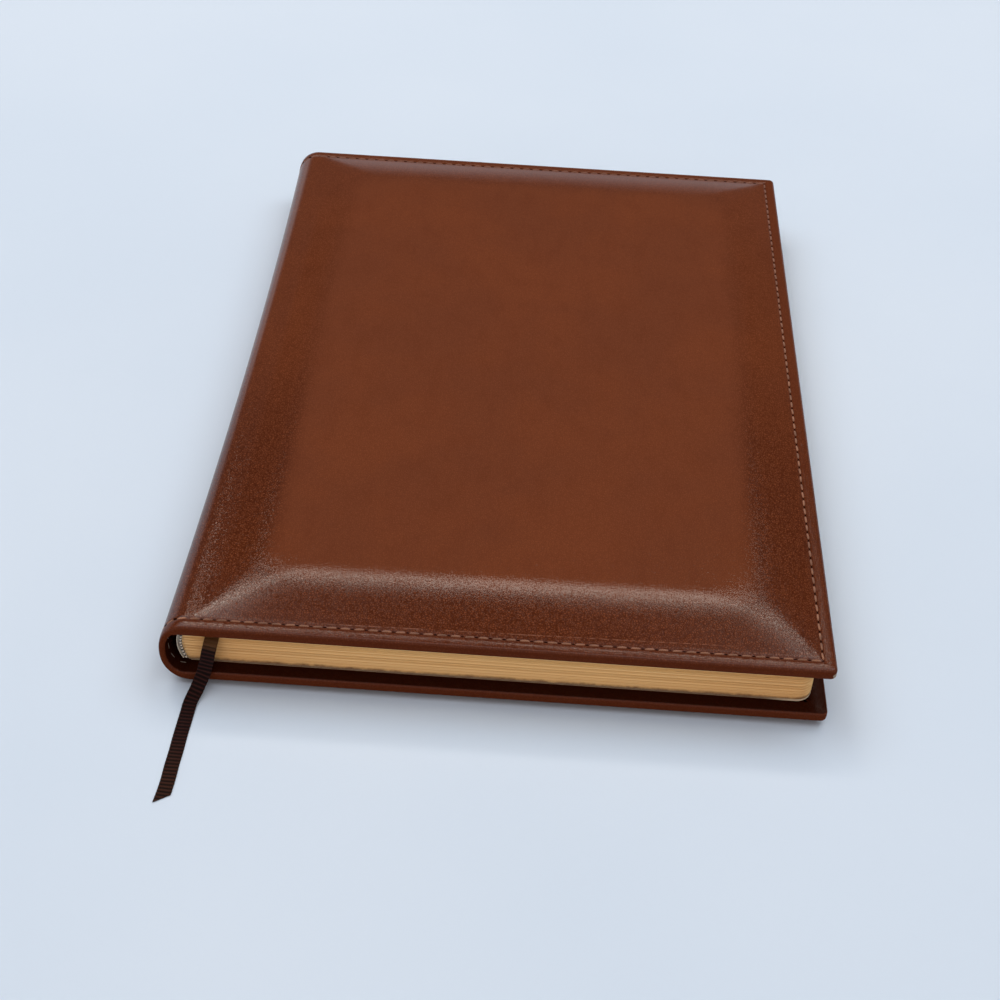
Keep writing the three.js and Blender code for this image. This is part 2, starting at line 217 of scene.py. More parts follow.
def stations(first, *runs):
    """Numbers from first on, in runs of (end, step), each run in even steps near the one asked."""
    parts = [np.array([first])]
    for end, step in runs:
        count = max(1, round(abs(end - parts[-1][-1]) / step))
        parts.append(np.linspace(parts[-1][-1], end, count + 1)[1:])
    return np.concatenate(parts)


print("from 0 to 10 in steps near 3:", stations(0.0, (10.0, 3.0)).round(2).tolist())


# %% [markdown]
# ## Node helpers
#
# Materials are chains of small nodes. These helpers add a node, join it to what feeds it and
# set its plain values, so a material below reads as a list of steps. Patterns are laid out in
# millimetres of the piece itself, so that they have their real scale and move with it.

# %% Nodes and sums
def add_node(tree, kind, inputs=None, **settings):
    """A node with its settings and inputs; an input is a value or another node's socket."""
    node = tree.nodes.new(kind)
    for name, value in settings.items():
        setattr(node, name, value)
    for key, value in (inputs or {}).items():
        if isinstance(value, bpy.types.NodeSocket):
            tree.links.new(value, node.inputs[key])
        else:
            node.inputs[key].default_value = value
    return node


def math_node(tree, operation, *values, clamp=False):
    """One sum, such as ADD, MULTIPLY or MAXIMUM, of sockets or plain numbers."""
    inputs = dict(enumerate(values))
    node = add_node(tree, "ShaderNodeMath", inputs, operation=operation, use_clamp=clamp)
    return node.outputs[0]


def times(tree, first, second):
    """The product of two sockets or numbers."""
    return math_node(tree, "MULTIPLY", first, second)


def range_node(tree, value, low, high, new_low=0.0, new_high=1.0, soft=True):
    """new_low up to low, new_high from high on; between them 3t^2 - 2t^3, or t if not soft."""
    kind = "SMOOTHSTEP" if soft else "LINEAR"
    inputs = {"Value": value, "From Min": low, "From Max": high,
              "To Min": new_low, "To Max": new_high}
    return add_node(tree, "ShaderNodeMapRange", inputs, interpolation_type=kind).outputs[0]


print("a sum of nodes can be one of ADD, SUBTRACT, MULTIPLY, MULTIPLY_ADD, ABSOLUTE and MAXIMUM")

# %% Colours
def mix_node(tree, share, first, second):
    """A colour: the first where the share is 0, the second where it is 1."""
    inputs = {0: share, 6: first, 7: second}
    return add_node(tree, "ShaderNodeMix", inputs, data_type="RGBA").outputs[2]


def layered(tree, ground, *layers):
    """A ground colour under layers of (share, colour), each laid over all below it."""
    for share, tint in layers:
        ground = mix_node(tree, share, ground, tint)
    return ground


def colour(red, green, blue):
    """A colour written as 0 to 255, as on a screen, turned to the linear values that nodes take:
    c / 12.92 for the darkest shades and ((c + 0.055) / 1.055)^2.4 for all others."""
    share = np.array([red, green, blue]) / 255
    linear = np.where(share <= 0.04045, share / 12.92, ((share + 0.055) / 1.055) ** 2.4)
    return (*linear.tolist(), 1.0)


print("half grey on a screen is", round(colour(128, 128, 128)[0], 3), "in linear light")

# %% Places and patterns
WAVES = 20 / (2 * math.pi)


def object_place(tree):
    """The place on the piece itself, in millimetres."""
    place = add_node(tree, "ShaderNodeTexCoord").outputs["Object"]
    inputs = {0: place, "Scale": 1 / MM}
    return add_node(tree, "ShaderNodeVectorMath", inputs, operation="SCALE").outputs[0]


def mark_value(tree, name):
    """The number that the mesh holds under a mark's name."""
    return add_node(tree, "ShaderNodeAttribute", attribute_name=name).outputs["Fac"]


def one_axis(tree, place, axis):
    """The X, Y or Z of a place."""
    return add_node(tree, "ShaderNodeSeparateXYZ", {0: place}).outputs[axis]


def stretched(tree, place, scale):
    """A place with each axis scaled: a small scale draws a pattern out along that axis."""
    return add_node(tree, "ShaderNodeMapping", {"Vector": place, "Scale": scale}).outputs[0]


def noise(tree, place, scale, detail=2.0, roughness=0.5):
    """Cloudy noise around one half, with about scale bumps in a millimetre."""
    inputs = {"Vector": place, "Scale": scale, "Detail": detail, "Roughness": roughness}
    return add_node(tree, "ShaderNodeTexNoise", inputs).outputs["Fac"]


def wave(tree, place, direction, scale, distortion, detail=2.0, detail_scale=1.0):
    """Even waves from 0 to 1 across a direction: WAVES times scale of them in a millimetre."""
    inputs = {"Vector": place, "Scale": scale, "Distortion": distortion, "Detail": detail,
              "Detail Scale": detail_scale}
    return add_node(tree, "ShaderNodeTexWave", inputs, bands_direction=direction).outputs["Fac"]


print("a wave texture of scale 1 has", round(WAVES, 2), "waves in each unit")

# %% Materials and groups
def new_material(name, **plain):
    """A material with a Principled BSDF, and its plain values by socket name."""
    material = bpy.data.materials.new(name)
    material.use_nodes = True
    tree = material.node_tree
    shader = tree.nodes["Principled BSDF"]
    for key, value in plain.items():
        shader.inputs[key.replace("_", " ")].default_value = value
    return material, tree, shader


def feed(tree, shader, height, depth, normal="Normal", **sockets):
    """Join values to a shader's sockets by name, and a bump, depth millimetres deep where the
    height is 1, to its normal."""
    for key, value in sockets.items():
        tree.links.new(value, shader.inputs[key.replace("_", " ")])
    bump = add_node(tree, "ShaderNodeBump", {"Height": height, "Distance": depth * MM})
    tree.links.new(bump.outputs[0], shader.inputs[normal])


def new_group(name, inputs, outputs):
    """An empty node group with its inputs and outputs, each a name and a kind of socket."""
    tree = bpy.data.node_groups.new(name, "ShaderNodeTree")
    for side, sockets in (("INPUT", inputs), ("OUTPUT", outputs)):
        for label, kind in sockets.items():
            tree.interface.new_socket(name=label, in_out=side, socket_type="NodeSocket" + kind)
    return tree, tree.nodes.new("NodeGroupInput").outputs, tree.nodes.new("NodeGroupOutput").inputs


print("a bump 0.03 mm deep is", 0.03 * MM, "m deep for Blender")


# %% [markdown]
# ## Grain
#
# Polished calf has a fine pebble: tiny cushions, about half a millimetre across, with creases
# between them. A Voronoi texture's distance to the nearest cell edge is just that shape. A
# little noise bends the cells, so no two are alike, and a larger, fainter set of creases is
# laid over them. Only the hide has this grain, so its nodes go straight into that material.

# %% Grain
GRAIN_CELLS_PER_MM = 1.9
CREASE_CELLS_PER_MM = 0.55
PEBBLE_EDGE = 0.32
CREASE_EDGE = 0.06
BEND_REACH = 0.7


def leather_grain(tree, place, amount):
    """The pebble's height and its creases, both times amount, and a tone for single grains. The
    creases are a mask of painted shade for the colour.
    """
    bend = add_node(tree, "ShaderNodeTexNoise", {
        "Vector": place, "Scale": 0.9, "Detail": 2.0, "Roughness": 0.6}).outputs["Color"]
    shift = add_node(tree, "ShaderNodeVectorMath", {0: bend, 1: (BEND_REACH,) * 3},
                     operation="MULTIPLY").outputs[0]
    bent = add_node(tree, "ShaderNodeVectorMath", {0: place, 1: shift}, operation="ADD").outputs[0]
    fall = []
    for per_mm, edge in ((GRAIN_CELLS_PER_MM, PEBBLE_EDGE), (CREASE_CELLS_PER_MM, CREASE_EDGE)):
        cells = add_node(tree, "ShaderNodeTexVoronoi", {"Vector": bent, "Scale": per_mm},
                         feature="DISTANCE_TO_EDGE")
        fall.append(range_node(tree, cells.outputs["Distance"], 0.0, edge))
    pebble, long_crease = fall
    tone = noise(tree, place, 2.2, 1.0)
    raised = math_node(tree, "MULTIPLY_ADD", long_crease, 0.5, pebble)
    fine = math_node(tree, "MULTIPLY_ADD", tone, 0.3, raised)
    valley_shade = math_node(tree, "SUBTRACT", 1.0, times(tree, pebble, long_crease))
    return times(tree, fine, amount), times(tree, valley_shade, amount), tone


print("grain cells", round(1 / GRAIN_CELLS_PER_MM, 2), "mm across")


# %% [markdown]
# ## Leather
#
# The hide is a warm red-brown whose colour wanders slowly across the cover. Painted shade
# darkens it in its creases, on its slopes and along its folded edges, and most where it is
# turned in under the block and inside the hollow spine. A coat of wax lies over it, polished on
# the level top and along the ridges and worn off the slopes. The coat has a bump of its own,
# weaker than the hide's, because wax fills the grain. One near corner has rubbed through to the
# board, and a faint tooling line runs beside part of the tail stitching. Both are kept, because
# such marks make the piece.

# %% Tooling line
TOOLED_FROM = (-45.0, -104.1)
TOOLED_TO = (55.0, -102.5)
TOOLED_FADE = 6.0
FRONT_FACE = (12.0, 13.0)


def tooled_line(tree, place):
    """1 on the faint line beside the tail stitching of the front cover, broken into dashes."""
    along, beside = one_axis(tree, place, "X"), one_axis(tree, place, "Y")
    slope = (TOOLED_TO[1] - TOOLED_FROM[1]) / (TOOLED_TO[0] - TOOLED_FROM[0])
    start = TOOLED_FROM[1] - slope * TOOLED_FROM[0]
    line = math_node(tree, "MULTIPLY_ADD", along, slope, start)
    away = math_node(tree, "ABSOLUTE", math_node(tree, "SUBTRACT", beside, line))
    share = range_node(tree, away, 0.05, 0.2, 1.0, 0.0)
    for value, low, high in ((along, TOOLED_FROM[0], TOOLED_FROM[0] + TOOLED_FADE),
                             (along, TOOLED_TO[0], TOOLED_TO[0] - TOOLED_FADE),
                             (one_axis(tree, place, "Z"), *FRONT_FACE)):
        share = times(tree, share, range_node(tree, value, low, high))
    dashes = noise(tree, place, 0.7, 1.0)
    return times(tree, share, range_node(tree, dashes, 0.4, 0.55, 0.15, 1.0))


print("tooling line", TOOLED_TO[0] - TOOLED_FROM[0], "mm long")

# %% Leather material
HIDE = colour(109, 58, 35)
HIDE_DEEP_AND_SHADE = colour(86, 38, 18)
HIDE_WARM = colour(116, 61, 35)
HIDE_CREASE_SHADE = colour(58, 22, 9)
HIDE_INSIDE_SHADE = colour(26, 4, 2)
RUBBED = colour(150, 138, 122)
TOOLED = colour(140, 92, 70)
COAT = 0.55
COAT_ROUGHNESS = 0.06
GRAIN_DEPTH = 0.03
WAX_DEPTH = 0.012
RUBBED_CORNER = (75.7, -108.0, 16.4)
RUBBED_REACH = (0.55, 0.7)


def make_leather(name):
    """Hide with a coat of wax. Four marks say where the grain stands out, where the hide is
    folded, where it is turned in, and how much wax it holds. The first three also paint shade
    into the colour."""
    material, tree, shader = new_material(
        name, Coat_Roughness=COAT_ROUGHNESS, Specular_IOR_Level=0.0)
    place = object_place(tree)
    amount, folded, inside, wax = (
        mark_value(tree, mark) for mark in ("grain", "folded", "inside", "wax"))
    grain, crease_shade, tone = leather_grain(tree, place, amount)
    patches = noise(tree, place, 0.038, 3.0, 0.55)
    streaks = noise(tree, stretched(tree, place, (0.2, 0.09, 0.1)), 1.0, 3.0)
    tooled = tooled_line(tree, place)
    away = add_node(tree, "ShaderNodeVectorMath", {0: place, 1: RUBBED_CORNER},
                    operation="DISTANCE").outputs["Value"]
    ragged = math_node(tree, "MULTIPLY_ADD", tone, -0.9, away)
    rubbed = range_node(tree, ragged, *RUBBED_REACH, 1.0, 0.0)
    # Painted shade: the slopes (amount), the grain's creases, the folded edges and the turned-in
    # hide are darkened here. The patches and streaks are the hide's own tone.
    tint = layered(
        tree, HIDE,
        (range_node(tree, patches, 0.35, 0.7, 0.0, 0.7), HIDE_WARM),
        (range_node(tree, streaks, 0.42, 0.75, 0.0, 0.14), HIDE_DEEP_AND_SHADE),
        (range_node(tree, amount, 0.3, 1.0, 0.0, 0.12, soft=False), HIDE_DEEP_AND_SHADE),
        (times(tree, crease_shade, 0.8), HIDE_CREASE_SHADE),
        (times(tree, folded, 0.7), HIDE_DEEP_AND_SHADE),
        (times(tree, inside, 0.8), HIDE_INSIDE_SHADE),
        (times(tree, tooled, 0.5), TOOLED),
        (rubbed, RUBBED))
    gloss = range_node(tree, tone, 0.3, 0.7, 0.42, 0.52)
    waxed = math_node(tree, "SUBTRACT", wax, rubbed, clamp=True)
    height = math_node(tree, "MULTIPLY_ADD", patches, 0.6, grain)
    height = math_node(tree, "SUBTRACT", height, tooled)
    feed(tree, shader, height, GRAIN_DEPTH, Base_Color=tint,
         Roughness=math_node(tree, "MULTIPLY_ADD", rubbed, 0.4, gloss),
         Coat_Weight=times(tree, waxed, COAT))
    feed(tree, shader, height, WAX_DEPTH, normal="Coat Normal")
    return material


leather = make_leather("waxed_hide")
print("leather colour", [round(v, 3) for v in HIDE[:3]])


# %% [markdown]
# ## Thread
#
# Sewing thread is twisted, so a wave that runs slantwise round each stitch gives its plies,
# with painted shade between them. It is specked with dirt, and the seam is painted darker
# towards the head, as shade. Two threads look so: the seam's and the pale one under the spine's
# turned-in ends. What they share is therefore a node group, which is built once and given each
# thread's own colours. The needle holes are small cups in the same mesh, told apart by a mark
# and painted dark as shade.

# %% Thread group
PAINTED_SHADE_FROM = -20.0
PAINTED_SHADE_TO = 106.0

thread_group, given, result = new_group(
    "twisted thread", {"Thread": "Color", "Head shade": "Color", "Shade and dirt": "Color"},
    {"Color": "Color", "Plies": "Float"})
thread_way = add_node(thread_group, "ShaderNodeCombineXYZ", {
    0: mark_value(thread_group, "along"), 1: mark_value(thread_group, "around")}).outputs[0]
plies = wave(thread_group, thread_way, "DIAGONAL", 1.0, 0.4)
speck = noise(thread_group, object_place(thread_group), 0.26)
head_way = one_axis(thread_group, object_place(thread_group), "Y")
# Painted shade: the plies' valleys, the seam towards the head and the needle holes. The specks are
# dirt.
thread_tint = layered(
    thread_group, given["Thread"],
    (range_node(thread_group, plies, 0.1, 0.8, 0.45, 0.0), given["Shade and dirt"]),
    (range_node(thread_group, speck, 0.35, 0.7, 0.0, 0.45), given["Shade and dirt"]),
    (range_node(thread_group, head_way, PAINTED_SHADE_FROM, PAINTED_SHADE_TO, 0.0, 0.7), given["Head shade"]),
    (mark_value(thread_group, "hole"), given["Shade and dirt"]))
thread_group.links.new(thread_tint, result["Color"])
thread_group.links.new(plies, result["Plies"])
print("thread group", len(thread_group.nodes), "nodes")

# %% Thread materials
STITCH = colour(186, 128, 94)
STITCH_PAINTED_SHADE = colour(112, 64, 44)
HOLE_SHADE_AND_DIRT = colour(26, 8, 4)
LINING_THREAD = colour(170, 158, 146)
LINING_HOLE_SHADE_AND_DIRT = colour(60, 46, 38)
PLY_DEPTH = 0.06


def make_thread(name, thread, painted_shade, hole):
    """Twisted thread with a slight sheen, and holes that have neither sheen nor gloss."""
    material, tree, shader = new_material(name, Roughness=0.62)
    look = add_node(tree, "ShaderNodeGroup", {"Thread": thread, "Head shade": painted_shade, "Shade and dirt": hole},
                    node_tree=thread_group).outputs
    is_hole = mark_value(tree, "hole")
    feed(tree, shader, look["Plies"], PLY_DEPTH, Base_Color=look["Color"],
         Sheen_Weight=range_node(tree, is_hole, 0.0, 1.0, 0.1, 0.0),
         Specular_IOR_Level=range_node(tree, is_hole, 0.0, 1.0, 0.35, 0.0))
    return material


stitch_thread = make_thread("sewing_thread", STITCH, STITCH_PAINTED_SHADE, HOLE_SHADE_AND_DIRT)
lining_thread = make_thread("lining_thread", LINING_THREAD, LINING_THREAD, LINING_HOLE_SHADE_AND_DIRT)
print("threads are ready")


# %% [markdown]
# ## Silk and gauze
#
# The marker is grosgrain silk: its ribs are real ridges in the mesh, painted darker as shade
# in their valleys and lighter as highlight on their crests, and the fine warp between them is a
# bump that follows a mark across the strip. A further mark paints light on it where it leaves
# the leaves, and a little on the table. The mull is gauze, two crossed waves with gaps between.

# %% Silk and gauze materials
SILK = colour(40, 13, 9)
SILK_LIT = colour(126, 88, 52)
SILK_VALLEY_SHADE = colour(8, 2, 2)
SILK_RIDGE_HIGHLIGHT = colour(92, 54, 48)
SILK_WARP = colour(18, 7, 5)
GAUZE = colour(132, 104, 84)
GAUZE_GAP = colour(84, 60, 46)
GAUZE_THREADS_PER_MM = 0.9


def make_silk(name):
    """Dark ribbed silk: valleys painted nearly black as shade, ridges painted lighter as highlight,
    a fine warp over both.
    """
    material, tree, shader = new_material(name, Roughness=0.6, Specular_IOR_Level=0.1)
    rib, across, lit = (mark_value(tree, mark) for mark in ("rib", "across", "lit"))
    warp_place = add_node(tree, "ShaderNodeCombineXYZ", {0: across}).outputs[0]
    warp = wave(tree, warp_place, "X", 7.0, 0.6)
    valley_shade = times(tree, range_node(tree, rib, 0.0, 0.6, 0.9, 0.0),
                   range_node(tree, lit, 0.3, 0.8, 1.0, 0.25))
    tint = layered(
        tree, SILK,
        (lit, SILK_LIT),
        (valley_shade, SILK_VALLEY_SHADE),
        (range_node(tree, rib, 0.6, 1.0, 0.0, 0.32), SILK_RIDGE_HIGHLIGHT),
        (range_node(tree, warp, 0.2, 0.8, 0.25, 0.0), SILK_WARP))
    feed(tree, shader, warp, 0.04, Base_Color=tint)
    return material


def make_woven(name, thread, gap, threads_per_mm):
    """Open cloth: thread where two crossed waves are both high, and gaps elsewhere."""
    material, tree, shader = new_material(name, Roughness=0.85, Sheen_Weight=0.2)
    place = object_place(tree)
    warp, weft = (wave(tree, place, axis, threads_per_mm / WAVES, 0.8, 1.0) for axis in "YZ")
    cloth = times(tree, warp, weft)
    tint = mix_node(tree, range_node(tree, cloth, 0.05, 0.5), gap, thread)
    feed(tree, shader, cloth, 0.08, Base_Color=tint)
    return material


silk = make_silk("grosgrain_silk")
gauze = make_woven("mull_gauze", GAUZE, GAUZE_GAP, GAUZE_THREADS_PER_MM)
print("silk and gauze are ready")


# %% [markdown]
# ## Gilt leaves
#
# The leaves are cream inside and gilt on their trimmed edges. A mark tells the two apart: it
# is 1 on the trimmed edges and 0 on the faces. Gilding is thin, so the leaf edges show through
# it as fine level lines. A wave upwards draws them evenly, and noise that is drawn out along
# the leaf makes broader ones among them. The gilt is painted darker low down and towards both
# ends, as shade, and its foot takes a mottled dark brown of painted shade.

# %% Leaf material
LINES_PER_MM = 1.1
BROAD_LINES_PER_MM = 2.4
GILT = colour(250, 212, 146)
GILT_PALE = colour(254, 226, 168)
GILT_LINES_AND_SHADE = colour(216, 164, 100)
GILT_FOOT_SHADE = colour(90, 50, 22)
PAPER = colour(226, 216, 194)
GILT_METAL = 0.4
LEAF_LINE_DEPTH = 0.03


def make_leaves(name):
    """Cream paper with gilt trimmed edges, told apart by a mark on the mesh."""
    material, tree, shader = new_material(name, Specular_IOR_Level=0.3)
    place = object_place(tree)
    edge = mark_value(tree, "trimmed")
    broad_place = stretched(tree, place, (0.022, 0.022, BROAD_LINES_PER_MM))
    broad = noise(tree, broad_place, 1.0, 3.0, 0.65)
    line_place = stretched(tree, place, (0.02, 0.02, 1.0))
    lines = wave(tree, line_place, "Z", LINES_PER_MM / WAVES, 0.35, 1.0, 1.4)
    foot_mottle = noise(tree, place, 0.3, 4.0, 0.7)
    height = one_axis(tree, place, "Z")
    from_middle = math_node(tree, "ABSOLUTE", one_axis(tree, place, "X"))
    mottled_height = math_node(tree, "MULTIPLY_ADD", foot_mottle, -1.6, height)
    foot_shade = range_node(tree, mottled_height, 3.9, 5.0, 0.85, 0.0)
    # Painted shade: the gilt darkens low down, towards both ends and, mottled, at its foot. The
    # lines are the leaf edges.
    gilt = layered(
        tree, GILT,
        (range_node(tree, broad, 0.35, 0.62, 0.4, 0.8), GILT_PALE),
        (range_node(tree, lines, 0.45, 0.0, 0.0, 0.55), GILT_LINES_AND_SHADE),
        (range_node(tree, height, 4.6, 15.0, 0.35, 0.0, soft=False), GILT_LINES_AND_SHADE),
        (range_node(tree, from_middle, 25.0, 70.0, 0.0, 0.34), GILT_LINES_AND_SHADE),
        (foot_shade, GILT_FOOT_SHADE))
    unshaded_edge = math_node(tree, "SUBTRACT", edge, foot_shade, clamp=True)
    relief = times(tree, math_node(tree, "ADD", lines, broad), edge)
    feed(tree, shader, relief, LEAF_LINE_DEPTH,
         Base_Color=mix_node(tree, edge, PAPER, gilt),
         Metallic=times(tree, unshaded_edge, GILT_METAL),
         Roughness=range_node(tree, edge, 0.0, 1.0, 0.85, 0.42))
    return material


leaves = make_leaves("gilt_edged_leaves")
print("leaf lines", round(1 / LINES_PER_MM, 2), "mm apart")


# %% [markdown]
# ## Papers, boards and foam
#
# Endpapers, lining paper, card and foam are all a tangle of fibres or cells: a colour that
# wanders a little, with a fine tangle in it that can also be felt. That is one effect with
# four sets of values, so it is a node group too. The endpapers' edges are painted dark brown,
# partly their own gilt and partly shade, except near the fore corner, where they stay cream.

# %% Fibre group
fibre_group, given, result = new_group(
    "tangled fibre", {"Tint": "Color", "Dark": "Color", "Per mm": "Float"},
    {"Color": "Color", "Height": "Float"})
fibre_place = object_place(fibre_group)
cloud = noise(fibre_group, fibre_place, 0.045, 4.0)
fibre = noise(fibre_group, fibre_place, given["Per mm"], 4.0)
mottled = range_node(fibre_group, times(fibre_group, cloud, fibre), 0.12, 0.4)
fibre_tint = mix_node(fibre_group, mottled, given["Dark"], given["Tint"])
fibre_group.links.new(fibre_tint, result["Color"])
fibre_group.links.new(fibre, result["Height"])
print("fibre group", len(fibre_group.nodes), "nodes")

# %% Paper materials
ENDPAPER = colour(222, 208, 180)
ENDPAPER_DARK = colour(216, 201, 171)
ENDPAPER_EDGE_SHADE = colour(92, 54, 28)
PALE_EDGE_FROM = 60.0
PALE_EDGE_TO = 68.0


def upright(tree):
    """1 on faces that stand upright in the piece's own directions: the edges of a sheet."""
    facing = add_node(tree, "ShaderNodeNewGeometry").outputs["True Normal"]
    own = add_node(tree, "ShaderNodeVectorTransform", {0: facing}, vector_type="NORMAL",
                   convert_from="WORLD", convert_to="OBJECT").outputs[0]
    level = math_node(tree, "ABSOLUTE", one_axis(tree, own, "Z"))
    return range_node(tree, level, 0.6, 0.5, 0.0, 1.0, soft=False)


def make_sheet(name, tint, dark, roughness, per_mm, depth, edge_shade=None):
    """Paper, card or foam: one tint that wanders towards a darker one, and a fibre bump. With an
    edge shade, the upright edges take it as painted shade, except near the fore corner.
    """
    material, tree, shader = new_material(name, Roughness=roughness)
    look = add_node(tree, "ShaderNodeGroup", {"Tint": tint, "Dark": dark, "Per mm": per_mm},
                    node_tree=fibre_group).outputs
    shade = look["Color"]
    # The edges' dark brown is painted shade over their brownish gilt. Towards the fore corner it
    # gives way to the paper's cream.
    if edge_shade:
        to_fore = one_axis(tree, object_place(tree), "X")
        painted_shade = mix_node(tree, range_node(tree, to_fore, PALE_EDGE_FROM, PALE_EDGE_TO), edge_shade, tint)
        shade = mix_node(tree, upright(tree), shade, painted_shade)
    feed(tree, shader, look["Height"], depth, Base_Color=shade)
    return material


endpaper = make_sheet("cream_endpaper", ENDPAPER, ENDPAPER_DARK, 0.78, 1.5, 0.02, ENDPAPER_EDGE_SHADE)
lining_paper = make_sheet("white_lining_paper", colour(222, 220, 214), colour(186, 182, 174),
                          0.85, 1.8, 0.03)
card = make_sheet("grey_card", colour(140, 132, 120), colour(112, 104, 94), 0.9, 1.1, 0.05)
foam = make_sheet("padding_foam", colour(218, 210, 192), colour(190, 180, 158), 1.0, 2.6, 0.12)
print("papers, card and foam are ready")


# %% [markdown]
# ## Ribbon marker
#
# The free end of the marker hangs over the back cover's rim and lies on the table. A flat
# ribbon is a strip carried along a smooth line. Its points are the ones that the packed
# model follows, so the two agree. The ribs are 1 mm apart, and a raised cosine along the
# line gives their ridges and the small loops at both edges.

# %% Ribbon route
RIBBON_ROUTE = np.array([
    (-64.3, -104.7, 12.47), (-64.3, -105.4, 12.4), (-64.4, -106.1, 12.0), (-64.6, -106.8, 11.1),
    (-64.9, -107.3, 9.8), (-65.2, -107.7, 8.2), (-65.6, -108.1, 6.6), (-65.9, -108.6, 5.2),
    (-66.4, -109.3, 3.9), (-66.9, -110.1, 2.8), (-67.4, -111.2, 1.8), (-68.0, -112.6, 1.0),
    (-68.4, -114.4, 0.5), (-68.5, -117.0, 0.25), (-68.6, -120.0, 0.2), (-68.7, -124.0, 0.2),
    (-68.7, -128.0, 0.2), (-68.8, -132.0, 0.2), (-68.8, -136.0, 0.2), (-68.9, -139.0, 0.2),
    (-69.1, -141.5, 0.2)])
RIBBON_STEP = 0.11
STEPS_PER_SPAN = 24


def smooth_line(route, step):
    """A line through all points of a route: between two points it is the cubic whose slopes
    at them come from their neighbours. Returned with its running length, in even steps."""
    before = np.vstack([2 * route[0] - route[1], route[:-1]])
    after = np.vstack([route[1:], 2 * route[-1] - route[-2]])
    slope = (after - before) / 2
    share = np.linspace(0, 1, STEPS_PER_SPAN + 1)[:-1, None, None]
    a, b, m, n = route[:-1], route[1:], slope[:-1], slope[1:]
    points = ((2 * share**3 - 3 * share**2 + 1) * a + (share**3 - 2 * share**2 + share) * m
              + (3 * share**2 - 2 * share**3) * b + (share**3 - share**2) * n)
    points = np.vstack([points.transpose(1, 0, 2).reshape(-1, 3), route[-1]])
    run = running_length(points)
    even = np.linspace(0, run[-1], int(round(run[-1] / step)) + 1)
    return along_line(points, run, even), even


def running_length(points):
    """Length of a line from its start to each of its points."""
    return np.concatenate([[0], np.cumsum(np.linalg.norm(np.diff(points, axis=0), axis=1))])


def along_line(values, run, at):
    """Values given along a line's running length, read at other lengths."""
    return np.stack([np.interp(at, run, values[:, k]) for k in range(3)], axis=1)


ribbon_line, ribbon_run = smooth_line(RIBBON_ROUTE, RIBBON_STEP)
print("free ribbon", round(ribbon_run[-1], 2), "mm long")

# %% [markdown]
# ### The strip
#
# Grosgrain is thick at its ribs and thin between them, so the two faces stand apart by a
# ribbed height, rounded off at both edges. The strip's last 3 mm are sheared, because a marker
# is cut off at a slant. Its faces are two grids, and four narrow strips close the gap.

# %% Ribbon strip
RIBBON_WIDTH = 3.3
RIBBON_THICKNESS = 0.28
RIB_PITCH = 0.98
RIB_DEPTH = 0.38
RIB_LOOPS = 0.025
EDGE_SQUARE = 14
TIP_SLANT = 2.6
TIP_RUN = 3.0
LIT_AT_LEAVES, LEAVES_LEFT = 0.8, (1.5, 4.0)
LIT_ON_TABLE, TABLE_REACHED = 0.12, (24.0, 40.0)


def ribbon_strip():
    """Two faces of a strip: across runs from -1 to 1, and the half thickness is that of the
    ribbon times a rounded edge, sqrt(1 - across^14), and a ribbed share,
    0.62 + 0.38 cos^2(pi s / pitch). It is lit a little at the leaves and on the table."""
    along = np.gradient(ribbon_line, axis=0)
    along /= np.linalg.norm(along, axis=1, keepdims=True)
    side = np.array([1.0, 0.0, 0.0]) - along * along[:, [0]]
    side /= np.linalg.norm(side, axis=1, keepdims=True)
    up = np.cross(side, along)
    across = np.concatenate([[-1, -0.97], np.linspace(-0.9, 0.9, 13), [0.97, 1]])
    end = ribbon_run[-1]
    near_tip = np.clip(ribbon_run[:, None] - end + TIP_RUN, 0, TIP_RUN) / TIP_RUN
    run = np.clip(ribbon_run[:, None] - near_tip * TIP_SLANT / 2 * across, 0, end + TIP_SLANT)
    rib = np.cos(np.pi * run / RIB_PITCH) ** 2
    edge = np.sqrt(np.clip(1 - np.abs(across) ** EDGE_SQUARE, 0.02, 1))
    half_width = RIBBON_WIDTH / 2 * (1 - RIB_LOOPS + RIB_LOOPS * rib)
    half = RIBBON_THICKNESS / 2 * edge * (1 - RIB_DEPTH + RIB_DEPTH * rib)
    shift = (run - ribbon_run[:, None])[..., None] * along[:, None, :]
    middle = ribbon_line[:, None, :] + shift + side[:, None, :] * (across * half_width)[..., None]
    lift = up[:, None, :] * half[..., None]
    at_leaves = LIT_AT_LEAVES * (1 - smooth_step(*LEAVES_LEFT, run))
    on_table = LIT_ON_TABLE * smooth_step(*TABLE_REACHED, run)
    marks = {"rib": rib, "across": np.broadcast_to(across, run.shape),
             "lit": np.maximum(at_leaves, on_table)}
    return middle + lift, middle - lift, marks


ribbon_top, ribbon_bottom, ribbon_marks = ribbon_strip()
marker = skin("marker_tail",
              [ribbon_top, ribbon_bottom, *closing_strips(ribbon_top, ribbon_bottom)], silk,
              {name: [grid, grid, *closing_strips(grid, grid)]
               for name, grid in ribbon_marks.items()})
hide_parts("ribbon_tail")
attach(marker, "text_block")


# %% [markdown]
# ## The shape of the hide
#
# One hide covers the whole case. It is described once, by a few functions, and cut into
# pieces where the book bends: two covers, a spine and the two joints between them. Because
# all five ask the same functions, their edges meet without a step.

